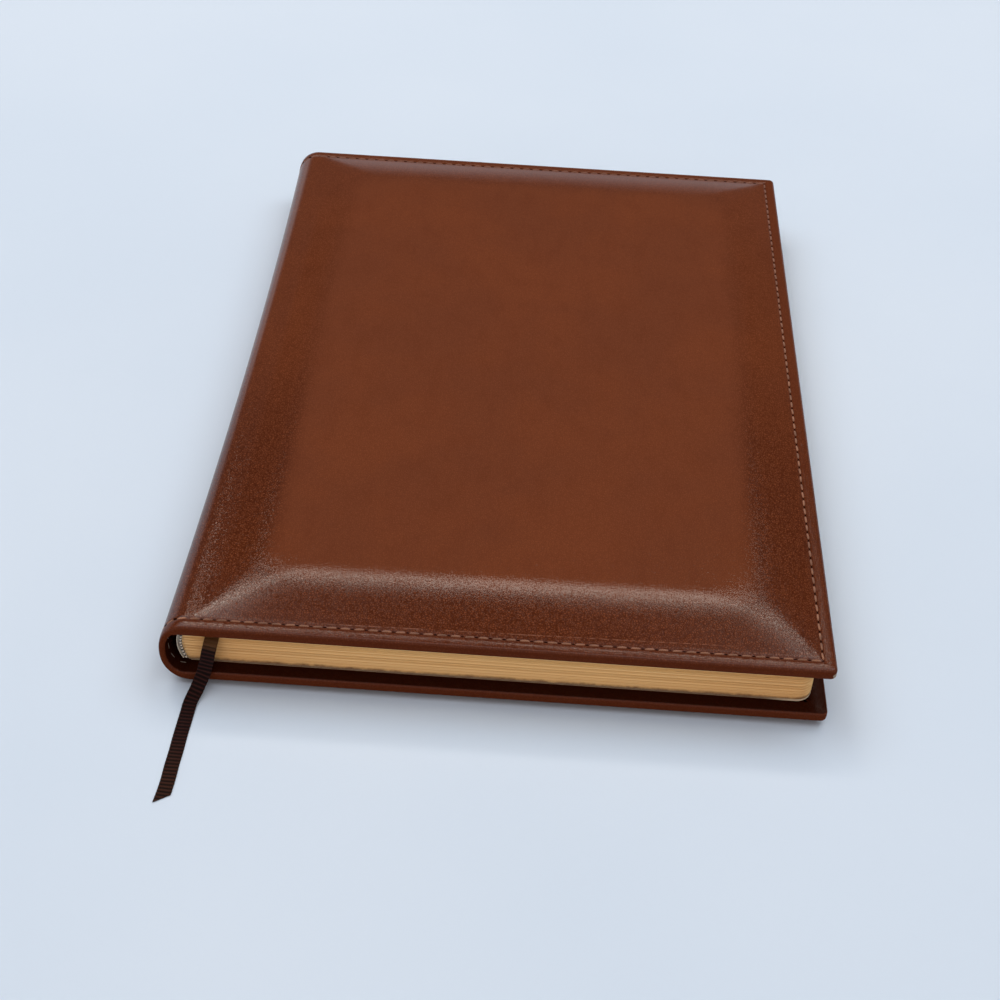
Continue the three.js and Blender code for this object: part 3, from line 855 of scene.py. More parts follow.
# %% Case sizes
front_low, front_high = node_box("front_leather")
spine_low, spine_high = node_box("spine_leather")
FORE_EDGE = front_high[0]
COVER_END = front_high[1]
FRONT_INSIDE = front_low[2]
FRONT_TOP = spine_high[2]
BACK_INSIDE = node_box("back_leather")[1][2]
RIM = FRONT_TOP - FRONT_INSIDE
BACK_BOTTOM = BACK_INSIDE - RIM
SPINE_BOTTOM = spine_low[2]
PAD_RISE = front_high[2] - FRONT_TOP
SEAM = front_low[0]
JOINT_REACH = 1.4
SPINE_CENTRE = SEAM - JOINT_REACH
BOARD_START = SEAM + JOINT_REACH
STITCH_INSET = 3.1
print("case", round(FORE_EDGE, 2), round(COVER_END, 2), round(FRONT_TOP, 2),
      "rise", round(PAD_RISE, 2))

# %% [markdown]
# ### Padding and rim
#
# The padding rises from the stitches to a soft ridge and stays level beyond it. Its ramp t
# starts gently, by the curve (t + sqrt(t^2 + s^2)) / 2, which goes smoothly from 0 to t. Foam
# that is squeezed under a sewn edge is fullest there, so the height is 1 - (1 - t)^1.8: steep
# at first and rounding over to the level top. In the corners a smooth smaller-of-two joins
# the ramps of two sides. The rim outside the stitches has a low crown, and the thread lies in
# a groove.

# %% Padding
PAD_START = 3.5
PAD_RAMP = 18.6
PAD_FULLNESS = 1.8
JOINT_SOFT = 0.15
FOOT_SOFT = 0.04
CORNER_SOFT = 0.08
CORNER_SOFTER = 0.5


def soft_ramp(value, softness):
    """(t + sqrt(t^2 + s^2)) / 2: near 0 for t below 0, near t above it."""
    return (value + np.sqrt(value * value + softness * softness)) / 2


def smooth_smaller(first, second):
    """The smaller of two, less k h^2 / 4 where they are within k; k grows with the smaller."""
    smaller = np.minimum(first, second)
    reach = CORNER_SOFT + CORNER_SOFTER * np.clip(smaller, 0, 1)
    close = np.clip(reach - np.abs(first - second), 0, None) / reach
    return smaller - reach * close * close / 4


def edge_inset(x, y):
    """How far a point is inside the nearer of the fore edge and the tail or head edge."""
    return np.minimum(COVER_END - np.abs(y), FORE_EDGE - x)


def pad_share(x, y):
    """Share of the padding's rise: 0 at the stitches and at the spine, 1 on the level top.
    The stuffed edge is fullest at the stitches: 1 - (1 - t)^1.8, t from 0 to 1 up the ramp."""
    from_ends = (COVER_END - np.abs(y) - PAD_START) / PAD_RAMP
    from_fore = (FORE_EDGE - x - PAD_START) / PAD_RAMP
    from_spine = np.clip((x - SPINE_CENTRE) / PAD_RAMP, 0, None)
    from_spine = (1 + JOINT_SOFT) * from_spine**2 / (from_spine + JOINT_SOFT)
    ramp = smooth_smaller(smooth_smaller(from_ends, from_fore), from_spine)
    ramp = np.clip(soft_ramp(ramp, FOOT_SOFT) - FOOT_SOFT / 2, 0, None)
    return 1 - np.clip(1 - ramp, 0, None) ** PAD_FULLNESS


half_up = pad_share(np.array(0.0), np.array(-COVER_END + PAD_START + PAD_RAMP / 2))
print("half way up the ramp the padding has risen by", round(float(half_up), 2))

# %% Rim and slack
LIP_END = 0.8
CROWN = 0.09
GROOVE = 0.2
GROOVE_WIDTH = 0.36
SLACK = 0.022
SLACK_FADE = 1.5


def rim_relief(inset):
    """Half a sine wave from the lip to the stitches, less a bell curve at the stitches."""
    crown = CROWN * np.sin(np.pi * np.clip((inset - LIP_END) / (STITCH_INSET - LIP_END), 0, 1))
    groove = GROOVE * np.exp(-((inset - STITCH_INSET) / GROOVE_WIDTH) ** 2)
    return crown - groove


def slack(x, y):
    """Slow waves of a few hundredths of a millimetre, as leather has over foam: three sines
    whose lengths, from 8 to 23 mm, never fall together."""
    waves = (np.sin(x / 9.1 + 1.3 * np.sin(y / 17.0)) * np.sin(y / 12.3 + 0.8)
             + 0.7 * np.sin(x / 15.7 - y / 21.0 + 2.0) + 0.5 * np.sin(y / 7.7 - x / 23.0))
    return SLACK * waves


def padding(x, y):
    """Height of the padded face above the rim, without the rim's own relief. The slack fades
    out towards the stitches, where the hide is held down."""
    share = pad_share(x, y)
    return PAD_RISE * share + slack(x, y) * np.clip(share * SLACK_FADE, 0, 1)


print("padding at the middle", round(float(padding(np.array(0.0), np.array(0.0))), 3), "mm")

# %% [markdown]
# ### Folded edge
#
# At its edges the hide goes round the board and is glued down inside. Seen in section this
# is a flat run inside, a small round at the inner lip, a short upright face, a fuller round
# at the outer lip and the rim. The hide has a thickness of its own, so each point of the
# outer line has a partner on the inner line, which is held inside the board's room.

# %% Folded edge
HIDE_THICKNESS = 0.9
TURNED_THICKNESS = 0.8
LIP_ROOM = 0.2
TURN_IN = 15.0
RIM_END = 2.4
INNER_LIP = 0.5
OUTER_LIP = 0.9
LIP_STEPS = 6
FLAT_STEPS = 5


def folded_edge(thickness, inner_round, outer_round, turn_in=TURN_IN):
    """Outer line (inset, depth) from the turned-in edge to the rim, and its inner partner.
    Both lips are quarter rounds: r (1 - sin a) one way and r (1 - cos a) the other."""
    angle = np.linspace(0, np.pi / 2, LIP_STEPS + 1)
    flat = np.stack([np.linspace(turn_in, inner_round, FLAT_STEPS + 1)[:-1],
                     np.full(FLAT_STEPS, thickness)], axis=1)
    inner_lip = np.stack([inner_round * (1 - np.sin(angle)),
                          thickness - inner_round * (1 - np.cos(angle))], axis=1)
    outer_lip = np.stack([outer_round * (1 - np.cos(angle)),
                          outer_round * (1 - np.sin(angle))], axis=1)
    rim_inset = np.linspace(outer_round, RIM_END, FLAT_STEPS + 1)[1:]
    rim = np.stack([rim_inset, -rim_relief(rim_inset)], axis=1)
    outer = np.concatenate([flat, inner_lip, outer_lip, rim])
    deepest = max(HIDE_THICKNESS, thickness - TURNED_THICKNESS)
    inner = np.stack([np.maximum(outer[:, 0], HIDE_THICKNESS + LIP_ROOM),
                      np.clip(outer[:, 1], HIDE_THICKNESS, deepest)], axis=1)
    return outer, inner


cover_edges = dict(zip(("outer", "inner"), folded_edge(RIM, INNER_LIP, OUTER_LIP)))
print("folded edge", len(cover_edges["outer"]), "points")

# %% [markdown]
# ## Covers
#
# A cover has two kinds of grid. The padded face is a height field, close-set across the
# slopes and the groove and wide on the level top. The folded edge is a strip along three
# sides, whose inner row is the height field's own border. At the fore corners the strip's
# points slide along a quarter round, whose radius shrinks to nothing at the border.

# %% Cover grids
CORNER_ROUND = 1.5
CORNER_RUN = 2.0
FINE_STEP = 0.14
SLOPE_STEP = 0.7
SIDE_STEP = 0.75
FORE_STEP = 0.8
LEVEL_STEP = 2.4
FINE_BAND = 2.0
LEVEL_FROM, LEVEL_TO, SLOPE_HALF, FORE_SLOPE = -47.0, 48.0, 62.0, 71.2
LEVEL_END = 82.0

inner_fore = FORE_EDGE - RIM_END
inner_end = COVER_END - RIM_END
cover_x = stations(BOARD_START, (LEVEL_FROM, SIDE_STEP), (LEVEL_TO, LEVEL_STEP),
                   (SLOPE_HALF, SIDE_STEP), (FORE_SLOPE, FORE_STEP), (inner_fore, FINE_STEP))
cover_y = stations(-inner_end, (-inner_end + FINE_BAND, FINE_STEP), (-LEVEL_END, SLOPE_STEP),
                   (LEVEL_END, LEVEL_STEP), (inner_end - FINE_BAND, SLOPE_STEP),
                   (inner_end, FINE_STEP))
print("cover grid", len(cover_x), "by", len(cover_y))


def round_corner(distance, inset):
    """Where a border point goes on the outline at an inset. distance is how far it is from
    the corner along the border; the result is its distance from both edges of the cover."""
    radius = np.maximum(CORNER_ROUND - inset, 1e-6)
    arc = radius * np.pi / 4
    length = RIM_END + CORNER_RUN - inset - radius + arc
    walk = distance / CORNER_RUN * length
    angle = np.pi / 4 + np.minimum(walk / radius, np.pi / 4)
    on_arc = walk < arc
    along = np.where(on_arc, inset + radius * (1 - np.cos(angle)), inset + radius + walk - arc)
    across = np.where(on_arc, inset + radius * (1 - np.sin(angle)), inset)
    far = distance >= CORNER_RUN
    return np.where(far, distance + RIM_END, along), np.where(far, inset, across)


def edge_strip(line, side):
    """The folded edge along one side, as x, y and height grids: one row for each line point."""
    inset, depth = line[:, [0]], line[:, [1]]
    if side == "fore":
        from_tail = cover_y + inner_end
        tail_half = from_tail < inner_end
        distance = np.where(tail_half, from_tail, 2 * inner_end - from_tail)[None, :]
        along, across = round_corner(distance, inset)
        y = np.where(tail_half[None, :], along - COVER_END, COVER_END - along)
        return FORE_EDGE - across, y, np.broadcast_to(-depth, y.shape)
    along, across = round_corner((inner_fore - cover_x)[None, :], inset)
    y = (COVER_END - across) * (1 if side == "head" else -1)
    return FORE_EDGE - along, y, np.broadcast_to(-depth, y.shape)


# %% [markdown]
# ### Wear and painted shade on the hide
#
# Hands polish a book where it stands proud and leave it dull in the hollows. So the grain,
# the wax and the painted shade of the slopes and folds are worked out from the shape itself:
# how far a point is inside the edge, how high the padding has risen there, and how far round
# the fold it lies.
# Each span below is a pair: where an effect starts and where it is complete.

# %% Grain and folds
LEVEL_SPAN = (0.8, 1.01)
COARSE_SPAN = (20.0, -60.0)
GRAIN_ON_TOP = 0.3
GRAIN_AT_HEAD = 0.35
RIM_SPAN = (4.2, 2.6)
UPRIGHT_SPAN = (0.07, 0.26)
LIP_SPAN = (0.8, 0.9)
TURNED_SPAN = (0.93, 1.0)
WAX_CHANGES = (-0.2, -0.75, 0.5, -0.45)


def grain_amount(x, y):
    """The grain stands out on the slopes and edges and is polished nearly flat on the level
    top. It is coarser towards the tail: the two shares are multiplied. The same mark darkens the
    hide's colour as painted shade, so the slopes, the tail's most of all, are darker than the top."""
    sloping = 1 - smooth_step(*LEVEL_SPAN, np.clip(pad_share(x, y), 0, 1))
    coarse = GRAIN_AT_HEAD + (1 - GRAIN_AT_HEAD) * smooth_step(*COARSE_SPAN, y)
    return GRAIN_ON_TOP + (1 - GRAIN_ON_TOP) * sloping * coarse


def edge_marks(inset, share):
    """Marks round the folded edge, from the inset and the share of the edge's thickness:
    how much painted shade the rim and the fold's upright face take, whether the hide is turned
    in, which takes the deepest painted shade, and how much wax it holds. The wax starts at 1 and
    is changed in turn by the rim, the upright face, the inner lip and the turned-in hide."""
    rim = smooth_step(*RIM_SPAN, inset)
    upright_face = smooth_step(*UPRIGHT_SPAN, share)
    lip = smooth_step(*LIP_SPAN, share)
    turned = smooth_step(*TURNED_SPAN, share)
    wax = 1
    for change, place in zip(WAX_CHANGES, (rim, upright_face, lip, turned)):
        wax = wax + change * place
    # folded paints shade on the rim and the upright face; inside paints the deepest shade on the
    # turned-in hide.
    return {"folded": 0.5 * (rim + upright_face), "inside": turned, "wax": wax}


print("wax left on the upright face of the fold", round(1 + sum(WAX_CHANGES[:2]), 2))

# %% Polish
RIDGE_WIDTH = 6.0
TOP_SPAN = (0.62, 0.95)
SLOPE_SPAN = (3.2, 4.6)
JOINT_SPAN = 3
HEAD_SPAN = (90.0, 40.0)
WAX_WORN_OFF = 0.78


def polish(x, y):
    """Share of the wax that is left: all of it on the level top, on the rim, near the head and
    along the ridges that run to the corners, and about a fifth on the slopes between them. A
    ridge is a bell curve of the difference between the distances to the two edges it parts."""
    from_ends = COVER_END - np.abs(y)
    from_sides = np.minimum(FORE_EDGE - x, x - SPINE_CENTRE)
    ridge = np.exp(-((from_ends - from_sides) / RIDGE_WIDTH) ** 2)
    kept = np.maximum(ridge, smooth_step(*TOP_SPAN, pad_share(x, y)))
    on_slope = smooth_step(*SLOPE_SPAN, edge_inset(x, y))
    on_slope = on_slope * smooth_step(BOARD_START, BOARD_START + JOINT_SPAN, x)
    on_slope = on_slope * smooth_step(*HEAD_SPAN, y)
    return 1 - WAX_WORN_OFF * on_slope * (1 - kept)


tail_slope = (np.array(0.0), np.array(-COVER_END + 10))
print("wax left on the tail's slope", round(float(polish(*tail_slope)), 2))

# %% [markdown]
# ### The two hides
#
# Both covers are one form: the padded face and its inner side, three folded edges with their
# inner sides, the narrow cuts at the turned-in edges, and the cut at the joint. A function
# for each cover turns a height above the rim's face into a height on the book. The back
# cover's padding is pressed flat where the book lies on it.

# %% Cover hides
def cover_hide(name, place_height):
    """The hide of a cover. place_height turns a height above the rim's face into the height
    on the book."""
    x, y = np.meshgrid(cover_x, cover_y, indexing="ij")
    relief = rim_relief(edge_inset(x, y))
    patches = []
    marks = {"grain": [], "folded": [], "inside": [], "wax": []}

    def add(grid_x, grid_y, height, share):
        """One more grid of the hide, with its marks."""
        patches.append(grid_points(grid_x, grid_y, place_height(height)))
        marks["grain"].append(grain_amount(grid_x, grid_y))
        for key, values in edge_marks(edge_inset(grid_x, grid_y), share).items():
            marks[key].append(np.broadcast_to(values, grid_x.shape))
        marks["wax"][-1] = marks["wax"][-1] * polish(grid_x, grid_y)

    add(x, y, padding(x, y) + relief, 0.0)
    add(x, y, padding(x, y) - HIDE_THICKNESS, 0.0)
    strips = {(side, kind): edge_strip(line, side) for side in ("tail", "fore", "head")
              for kind, line in cover_edges.items()}
    for strip_x, strip_y, height in strips.values():
        add(strip_x, strip_y, height, -height / RIM)
    for side in ("tail", "fore", "head"):
        pair = zip(strips[side, "outer"], strips[side, "inner"])
        add(*(np.stack([outer[0], inner[0]]) for outer, inner in pair), 1.0)
    columns = []
    for kind, lift in (("outer", relief[0]), ("inner", -HIDE_THICKNESS)):
        tail, head = strips["tail", kind], strips["head", kind]
        face = (x[0], y[0], padding(x[0], y[0]) + lift)
        columns.append([np.concatenate([tail[k][:, 0], face[k], head[k][::-1, 0]])
                        for k in range(3)])
    add(*(np.stack(pair) for pair in zip(*columns)), 0.0)
    piece = skin(name, patches, leather, marks)
    return piece


def front_height(height):
    """Heights on the front cover, which faces up."""
    return FRONT_TOP + height


def back_height(height):
    """Heights on the back cover, which faces down and is pressed flat on the table."""
    return np.maximum(BACK_BOTTOM - height, 0)


front_hide = cover_hide("front_hide", front_height)
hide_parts("front_leather")
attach(front_hide, "front_cover")
back_hide = cover_hide("back_hide", back_height)
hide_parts("back_leather")
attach(back_hide, "back_cover")


# %% [markdown]
# ## Spine and joints
#
# Between the covers the hide runs over the first joint, round the hollow spine and back over
# the second joint. Its section is a straight run, the left half of a superellipse, and a
# straight run. Carried along it is a closed loop: out along the outer face from tail to
# head, round the folded end, and back along the inner face. The folded ends are as thick as
# a cover's rim at the joints and thin out to a rolled edge at the back of the spine.

# %% Spine section
SPINE_STANDS_OUT = 0.5
SPINE_DEPTH = SPINE_CENTRE - spine_low[0] + SPINE_STANDS_OUT
SPINE_ROUNDNESS = 2.2
SPINE_BOW = 1.8
spine_middle = (FRONT_TOP + SPINE_BOTTOM) / 2
spine_half = (FRONT_TOP - SPINE_BOTTOM) / 2


def spine_point(angle, y, depth, padded=0):
    """The superellipse cos^(2/n), sin^(2/n), a depth inside the outer face, at an angle from
    +90 degrees at the front joint to -90 at the back joint. Its middle is drawn in. There is
    no padding on the spine, so padded changes nothing here."""
    power = 2 / SPINE_ROUNDNESS
    reach = np.abs(np.cos(angle)) ** power
    lift = np.sign(angle) * np.abs(np.sin(angle)) ** power
    bow = SPINE_BOW * (1 - (y / COVER_END) ** 2) * reach
    x = SPINE_CENTRE - (SPINE_DEPTH - depth) * reach + bow
    return grid_points(x, y, spine_middle + (spine_half - depth) * lift)


def front_joint_point(x, y, depth, padded):
    """A straight run at the height of the front rim, less a depth, plus padding if padded."""
    height = FRONT_TOP - depth + padded * padding(np.broadcast_to(x, y.shape), y)
    return grid_points(x, y, height)


def back_joint_point(x, y, depth, padded):
    """The same under the back cover, easing from its rim to the lowest line of the spine."""
    share = smooth_step(BOARD_START, SPINE_CENTRE, x)
    base = BACK_BOTTOM + (SPINE_BOTTOM - BACK_BOTTOM) * share
    height = np.maximum(base + depth - padded * padding(np.broadcast_to(x, y.shape), y), 0)
    return grid_points(x, y, height)


print("spine", round(2 * spine_half, 2), "mm high and", round(SPINE_DEPTH, 2), "mm deep")

# %% Loops of hide
def end_loop(thickness, turn_in):
    """One loop round the hide's section at a place on the case: (y, depth, padded) of the
    outer line from the tail's turned-in edge to the head's, and of its inner partner."""
    outer_lip = min(OUTER_LIP, thickness / 2)
    inner_lip = min(INNER_LIP, thickness / 2) if thickness > 2 else outer_lip
    outer, inner = folded_edge(thickness, inner_lip, outer_lip, turn_in)
    lines = []
    for line, depth in ((outer, -rim_relief(COVER_END - np.abs(cover_y))),
                        (inner, HIDE_THICKNESS)):
        middle = grid_points(cover_y, depth, 1.0)
        tail = grid_points(line[:, 0] - COVER_END, line[:, 1], 0.0)
        head = grid_points(COVER_END - line[:, 0], line[:, 1], 0.0)
        lines.append(np.concatenate([tail, middle, head[::-1]]))
    return lines


def case_piece(name, places):
    """A closed piece of hide from a list of (point function, position, thickness, turn-in)."""
    rows, shares = ([], []), ([], [])
    for point, position, thickness, turn_in in places:
        for kind, line in enumerate(end_loop(thickness, turn_in)):
            y, depth, padded = line.T
            rows[kind].append(point(position, y, depth, padded))
            shares[kind].append(np.where(padded > 0, 0, depth / thickness))
    faces, face_shares = ([np.stack(part) for part in parts] for parts in (rows, shares))
    patches = faces + closing_strips(*faces)
    found = [edge_marks(COVER_END - np.abs(patch[..., 1]), share)
             for patch, share in zip(patches, face_shares + closing_strips(*face_shares))]
    marks = {key: [values[key] for values in found] for key in ("folded", "inside", "wax")}
    marks["grain"] = [grain_amount(patch[..., 0], patch[..., 1]) for patch in patches]
    piece = skin(name, patches, leather, marks)
    return piece


print("one loop of hide", len(end_loop(RIM, TURN_IN)[0]), "points")

# %% [markdown]
# ### The spine and the two joints
#
# The same loop is placed along the section: straight over the front joint, round the spine in
# steps of 4 degrees, and straight again under the back joint. The spine is cut from the back
# joint at 70.5 degrees, low on its section, because from there on the leather has to bend
# when the block rises. The spine rides with the block, and the two joints stay where they lie.

# %% Spine and joint hides
BACK_BEND = math.radians(-70.5)
SPINE_TURN_IN = 12.0
SPINE_END_THICKNESS = 1.55
JOINT_STEP = 0.2
SPINE_STEP = 4.0
BACK_BEND_STEP = 3.5


def near_joints(angle):
    """0 at the back of the spine and 1 at the joints: |sin|^6 of the angle."""
    return np.abs(np.sin(angle)) ** 6


def end_thickness(angle):
    """Thickness of the folded end: a rim's at the joints, a rolled edge's at the back."""
    return SPINE_END_THICKNESS + (RIM - SPINE_END_THICKNESS) * near_joints(angle)


def on_spine(angles):
    """Places for loops at these angles round the spine."""
    return [(spine_point, angle, end_thickness(angle),
             SPINE_TURN_IN + (TURN_IN - SPINE_TURN_IN) * near_joints(angle)) for angle in angles]


joint_x = stations(BOARD_START, (SPINE_CENTRE, JOINT_STEP))
spine_angles = np.radians(stations(90.0, (math.degrees(BACK_BEND), SPINE_STEP)))
bend_angles = np.radians(stations(math.degrees(BACK_BEND), (-90.0, BACK_BEND_STEP)))
front_joint_places = [(front_joint_point, x, RIM, TURN_IN) for x in joint_x]
back_joint_places = on_spine(bend_angles[:-1])
back_joint_places += [(back_joint_point, x, RIM, TURN_IN) for x in joint_x[::-1]]

front_joint_hide = case_piece("front_joint_hide", front_joint_places)
spine_hide = case_piece("spine_hide", on_spine(spine_angles))
back_joint_hide = case_piece("back_joint_hide", back_joint_places)
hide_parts("spine_leather")
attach(spine_hide, "text_block")

bend_x = float(spine_point(np.array(BACK_BEND), np.array(COVER_END), np.array(0.0))[0])
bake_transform(front_joint_hide)
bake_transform(back_joint_hide)
print("joints bend between", round(SPINE_CENTRE, 1), round(BOARD_START, 1), "and", round(bend_x, 1))


# %% [markdown]
# ## Stitching
#
# A line of stitches runs round the whole case, 3.1 mm inside its edge. Each stitch is a short
# thread that dives into a needle hole at both ends, so it is a capsule whose middle stands
# proud of the groove. All stitches are one base shape, moved by a frame of three directions
# at each place: along the seam, across it and out of the hide.

# %% One stitch
STITCH_PITCH = 3.1
STITCH_LENGTH = 2.4
THREAD_RADIUS = 0.27
THREAD_LEAN = 0.06
THREAD_SUNK = 0.1
THREAD_ARCH = 0.16
THREAD_FLATTENED = 0.8
HOLE_RADIUS = 0.34
HOLE_STRETCH = 1.15
HOLE_RIM = 0.07

stitch_t, stitch_a = np.meshgrid(np.linspace(-1, 1, 9), np.linspace(0, 2 * np.pi, 9), indexing="ij")
# The girth is r sqrt(1 - |t|^5), so a stitch stays thick and closes in a blunt end.
stitch_girth = THREAD_RADIUS * np.sqrt(np.clip(1 - np.abs(stitch_t) ** 5, 0, 1))
stitch_lift = THREAD_ARCH * (1 - stitch_t**2)
STITCH_FORM = grid_points(
    stitch_t * STITCH_LENGTH / 2,
    stitch_girth * np.sin(stitch_a) + THREAD_LEAN * stitch_t,
    stitch_girth * np.cos(stitch_a) * THREAD_FLATTENED + stitch_lift - THREAD_SUNK)
# A hole is a quarter of a round cup: it widens as the sine and sinks as the cosine.
hole_t, hole_a = np.meshgrid(np.linspace(0, 1, 4), np.linspace(0, 2 * np.pi, 9), indexing="ij")
hole_reach = HOLE_RADIUS * np.sin(hole_t * np.pi / 2)
HOLE_FORM = grid_points(
    STITCH_PITCH / 2 + hole_reach * HOLE_STRETCH * np.cos(hole_a),
    hole_reach * np.sin(hole_a),
    HOLE_RIM * np.cos(hole_t * np.pi / 2))
print("one stitch", STITCH_FORM.shape, "one hole", HOLE_FORM.shape)

# %% [markdown]
# ### Runs of stitches
#
# A seam is a list of places with two directions each. The forms are turned and moved to all
# places at once, by one product of arrays. Each stitch lies a little askew, as hand and
# machine both leave it. On a cover the seam goes along the tail, up the fore edge and back
# along the head, at the height that the hide has there.

# %% Stitch pieces
ASKEW = 0.05
ASKEW_STEP = 2.4
TWIST_PER_MM = 1.6
TWIST_ROUND = 2
STITCH_SHARP = math.radians(80)


def stitch_piece(name, middles, along, out, material, scale=1.0):
    """Stitches and their needle holes as one mesh: form x (along, across, out) + middle."""
    along = along / np.linalg.norm(along, axis=1, keepdims=True)
    out = out - along * (out * along).sum(axis=1, keepdims=True)
    out = out / np.linalg.norm(out, axis=1, keepdims=True)
    axes = np.stack([along, np.cross(out, along), out], axis=1)
    askew = ASKEW * np.sin(np.arange(len(middles)) * ASKEW_STEP)[:, None, None, None]
    threads = STITCH_FORM * np.array([1, scale, scale])
    patches, marks = [], {"along": [], "around": [], "hole": []}
    for form, is_hole in ((threads, 0.0), (HOLE_FORM, 1.0)):
        turned = form + askew * form[..., [0]] * np.array([0.0, 1.0, 0.0])
        patches.extend(np.einsum("nrcf,nfk->nrck", turned, axes) + middles[:, None, None, :])
        marks["along"] += [form[..., 0] * TWIST_PER_MM] * len(middles)
        marks["around"] += [np.linspace(0, TWIST_ROUND, form.shape[1])] * len(middles)
        marks["hole"] += [is_hole] * len(middles)
    piece = skin(name, patches, material, marks, sharp=STITCH_SHARP)
    print(name, len(middles), "stitches")
    return piece


print("stitches lie askew by up to", ASKEW, "of their length")

# %% Seams of the covers
TABLE_CLEAR = 0.35
seam_y = COVER_END - STITCH_INSET
seam_x = FORE_EDGE - STITCH_INSET


def even_places(start, end):
    """Middles of stitches between two ends, a pitch apart as near as whole stitches allow."""
    count = max(1, round(abs(end - start) / STITCH_PITCH))
    return start + (np.arange(count) + 0.5) * (end - start) / count


def cover_seam(place_height, out_sign):
    """Middles, directions and outward directions of a cover's stitches: tail, fore, head."""
    tail_x = even_places(BOARD_START, seam_x)
    fore_y = even_places(-seam_y, seam_y)
    runs = [(tail_x, np.full_like(tail_x, -seam_y), (1, 0)),
            (np.full_like(fore_y, seam_x), fore_y, (0, 1)),
            (tail_x[::-1], np.full_like(tail_x, seam_y), (-1, 0))]
    x, y = (np.concatenate([run[k] for run in runs]) for k in (0, 1))
    way = np.concatenate([np.tile(run[2], (len(run[0]), 1)) for run in runs]).astype(float)
    middles = grid_points(x, y, place_height(padding(x, y) + rim_relief(edge_inset(x, y))))
    along = np.concatenate([way, np.zeros((len(x), 1))], axis=1)
    return middles, along, np.tile([0.0, 0.0, out_sign], (len(x), 1))


def pressed_back(height):
    """Heights on the back cover for its stitches, which stay clear of the table."""
    return np.maximum(back_height(height), TABLE_CLEAR)


front_stitches = stitch_piece("front_stitches", *cover_seam(front_height, 1.0), stitch_thread)
back_stitches = stitch_piece("back_stitches", *cover_seam(pressed_back, -1.0), stitch_thread)
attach(front_stitches, "front_cover")
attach(back_stitches, "back_cover")

# %% [markdown]
# ### Stitches over the spine
#
# The same seam goes on over the joints and round the spine. There its line is found by
# walking the section: the running length of the outer line is cut into equal stitches, and
# each one belongs to the spine or to the joint that it falls on. Inside the hollow end the
# under-thread shows as a row of pale dashes on the turned-in hide.

# %% Spine stitches
UNDER_THREAD_SCALE = 0.42
QUARTER = math.pi / 2
UNDER_FROM = math.radians(62)
UNDER_TO = math.radians(-80)
groove_depth = float(-rim_relief(np.array(STITCH_INSET)))


def spine_seam(y, depth_at, side, first, last):
    """Stitch middles along the section between two angles, with along and out directions.
    side is 1 for the outer face and -1 for the inner one."""
    angle = np.radians(np.linspace(90, -90, 361))
    angle = angle[(angle <= first) & (angle >= last)]
    line = spine_point(angle, np.full_like(angle, y), depth_at(angle))
    run = running_length(line)
    at = even_places(0, run[-1])
    middles = along_line(line, run, at)
    along = along_line(np.gradient(line, axis=0), run, at)
    square = np.cross(along, [0, 1.0, 0])
    away = middles - np.array([SPINE_CENTRE, y, spine_middle])
    return middles, along, side * square * np.sign((square * away).sum(axis=1, keepdims=True))


def both_ends(depth_at, side, first, last):
    """The seam at the tail and the one at the head, joined in one list of places."""
    tail, head = (spine_seam(y, depth_at, side, first, last) for y in (-seam_y, seam_y))
    return [np.concatenate(pair) for pair in zip(tail, head)]


def in_groove(angle):
    """The seam's depth is the same all round the spine."""
    return np.full_like(angle, groove_depth)


spine_stitches = stitch_piece(
    "spine_stitches", *both_ends(in_groove, 1, QUARTER, BACK_BEND), stitch_thread)
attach(spine_stitches, "text_block")
inner_stitches = stitch_piece(
    "spine_under_stitches", *both_ends(end_thickness, -1, UNDER_FROM, UNDER_TO), lining_thread,
    UNDER_THREAD_SCALE)
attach(inner_stitches, "text_block")

# %% [markdown]
# ### Stitches over the joints
#
# The few stitches on the joints themselves lie across the bend and stay where they lie, with
# the hide that they are sewn to: one at each end of the front joint and two at each end of the
# back one.

# %% Joint stitches
def bridge(name, xs, height, out_sign):
    """Stitches along x at both ends of a joint, facing up or down."""
    middles = np.array([[x, sign * seam_y, height] for x in xs for sign in (-1, 1)])
    along = np.tile([1.0, 0, 0], (len(middles), 1))
    return stitch_piece(name, middles, along, np.tile([0, 0, out_sign], (len(middles), 1)),
                        stitch_thread)


BACK_PAIR = (SEAM - 0.2, SPINE_CENTRE - 1.6)
BACK_PAIR_LIFT = 0.3
joint_front_stitches = bridge("front_joint_stitches", [SEAM], FRONT_TOP - groove_depth, 1.0)
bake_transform(joint_front_stitches)
joint_back_stitches = bridge("back_joint_stitches", BACK_PAIR, SPINE_BOTTOM + BACK_PAIR_LIFT, -1.0)
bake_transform(joint_back_stitches)


# %% [markdown]
# ## Leaves
#
# Each section is a gathering of folded sheets, trimmed on three sides. Its edge is not a
# smooth wall but a stack of leaf edges, each a hair further in or out than the next. A
# section is made as level outlines, two for each leaf, and the outline is drawn in between
# leaves and shifted a little for each leaf. The outline has a round fold at the spine and
# round fore corners.

# %% Leaf outlines
FORE_ROUND = 3.7
ROUND_POINTS = 10
FOLD_CORNER = 0.15
OUTLINE_STEP = 3.0


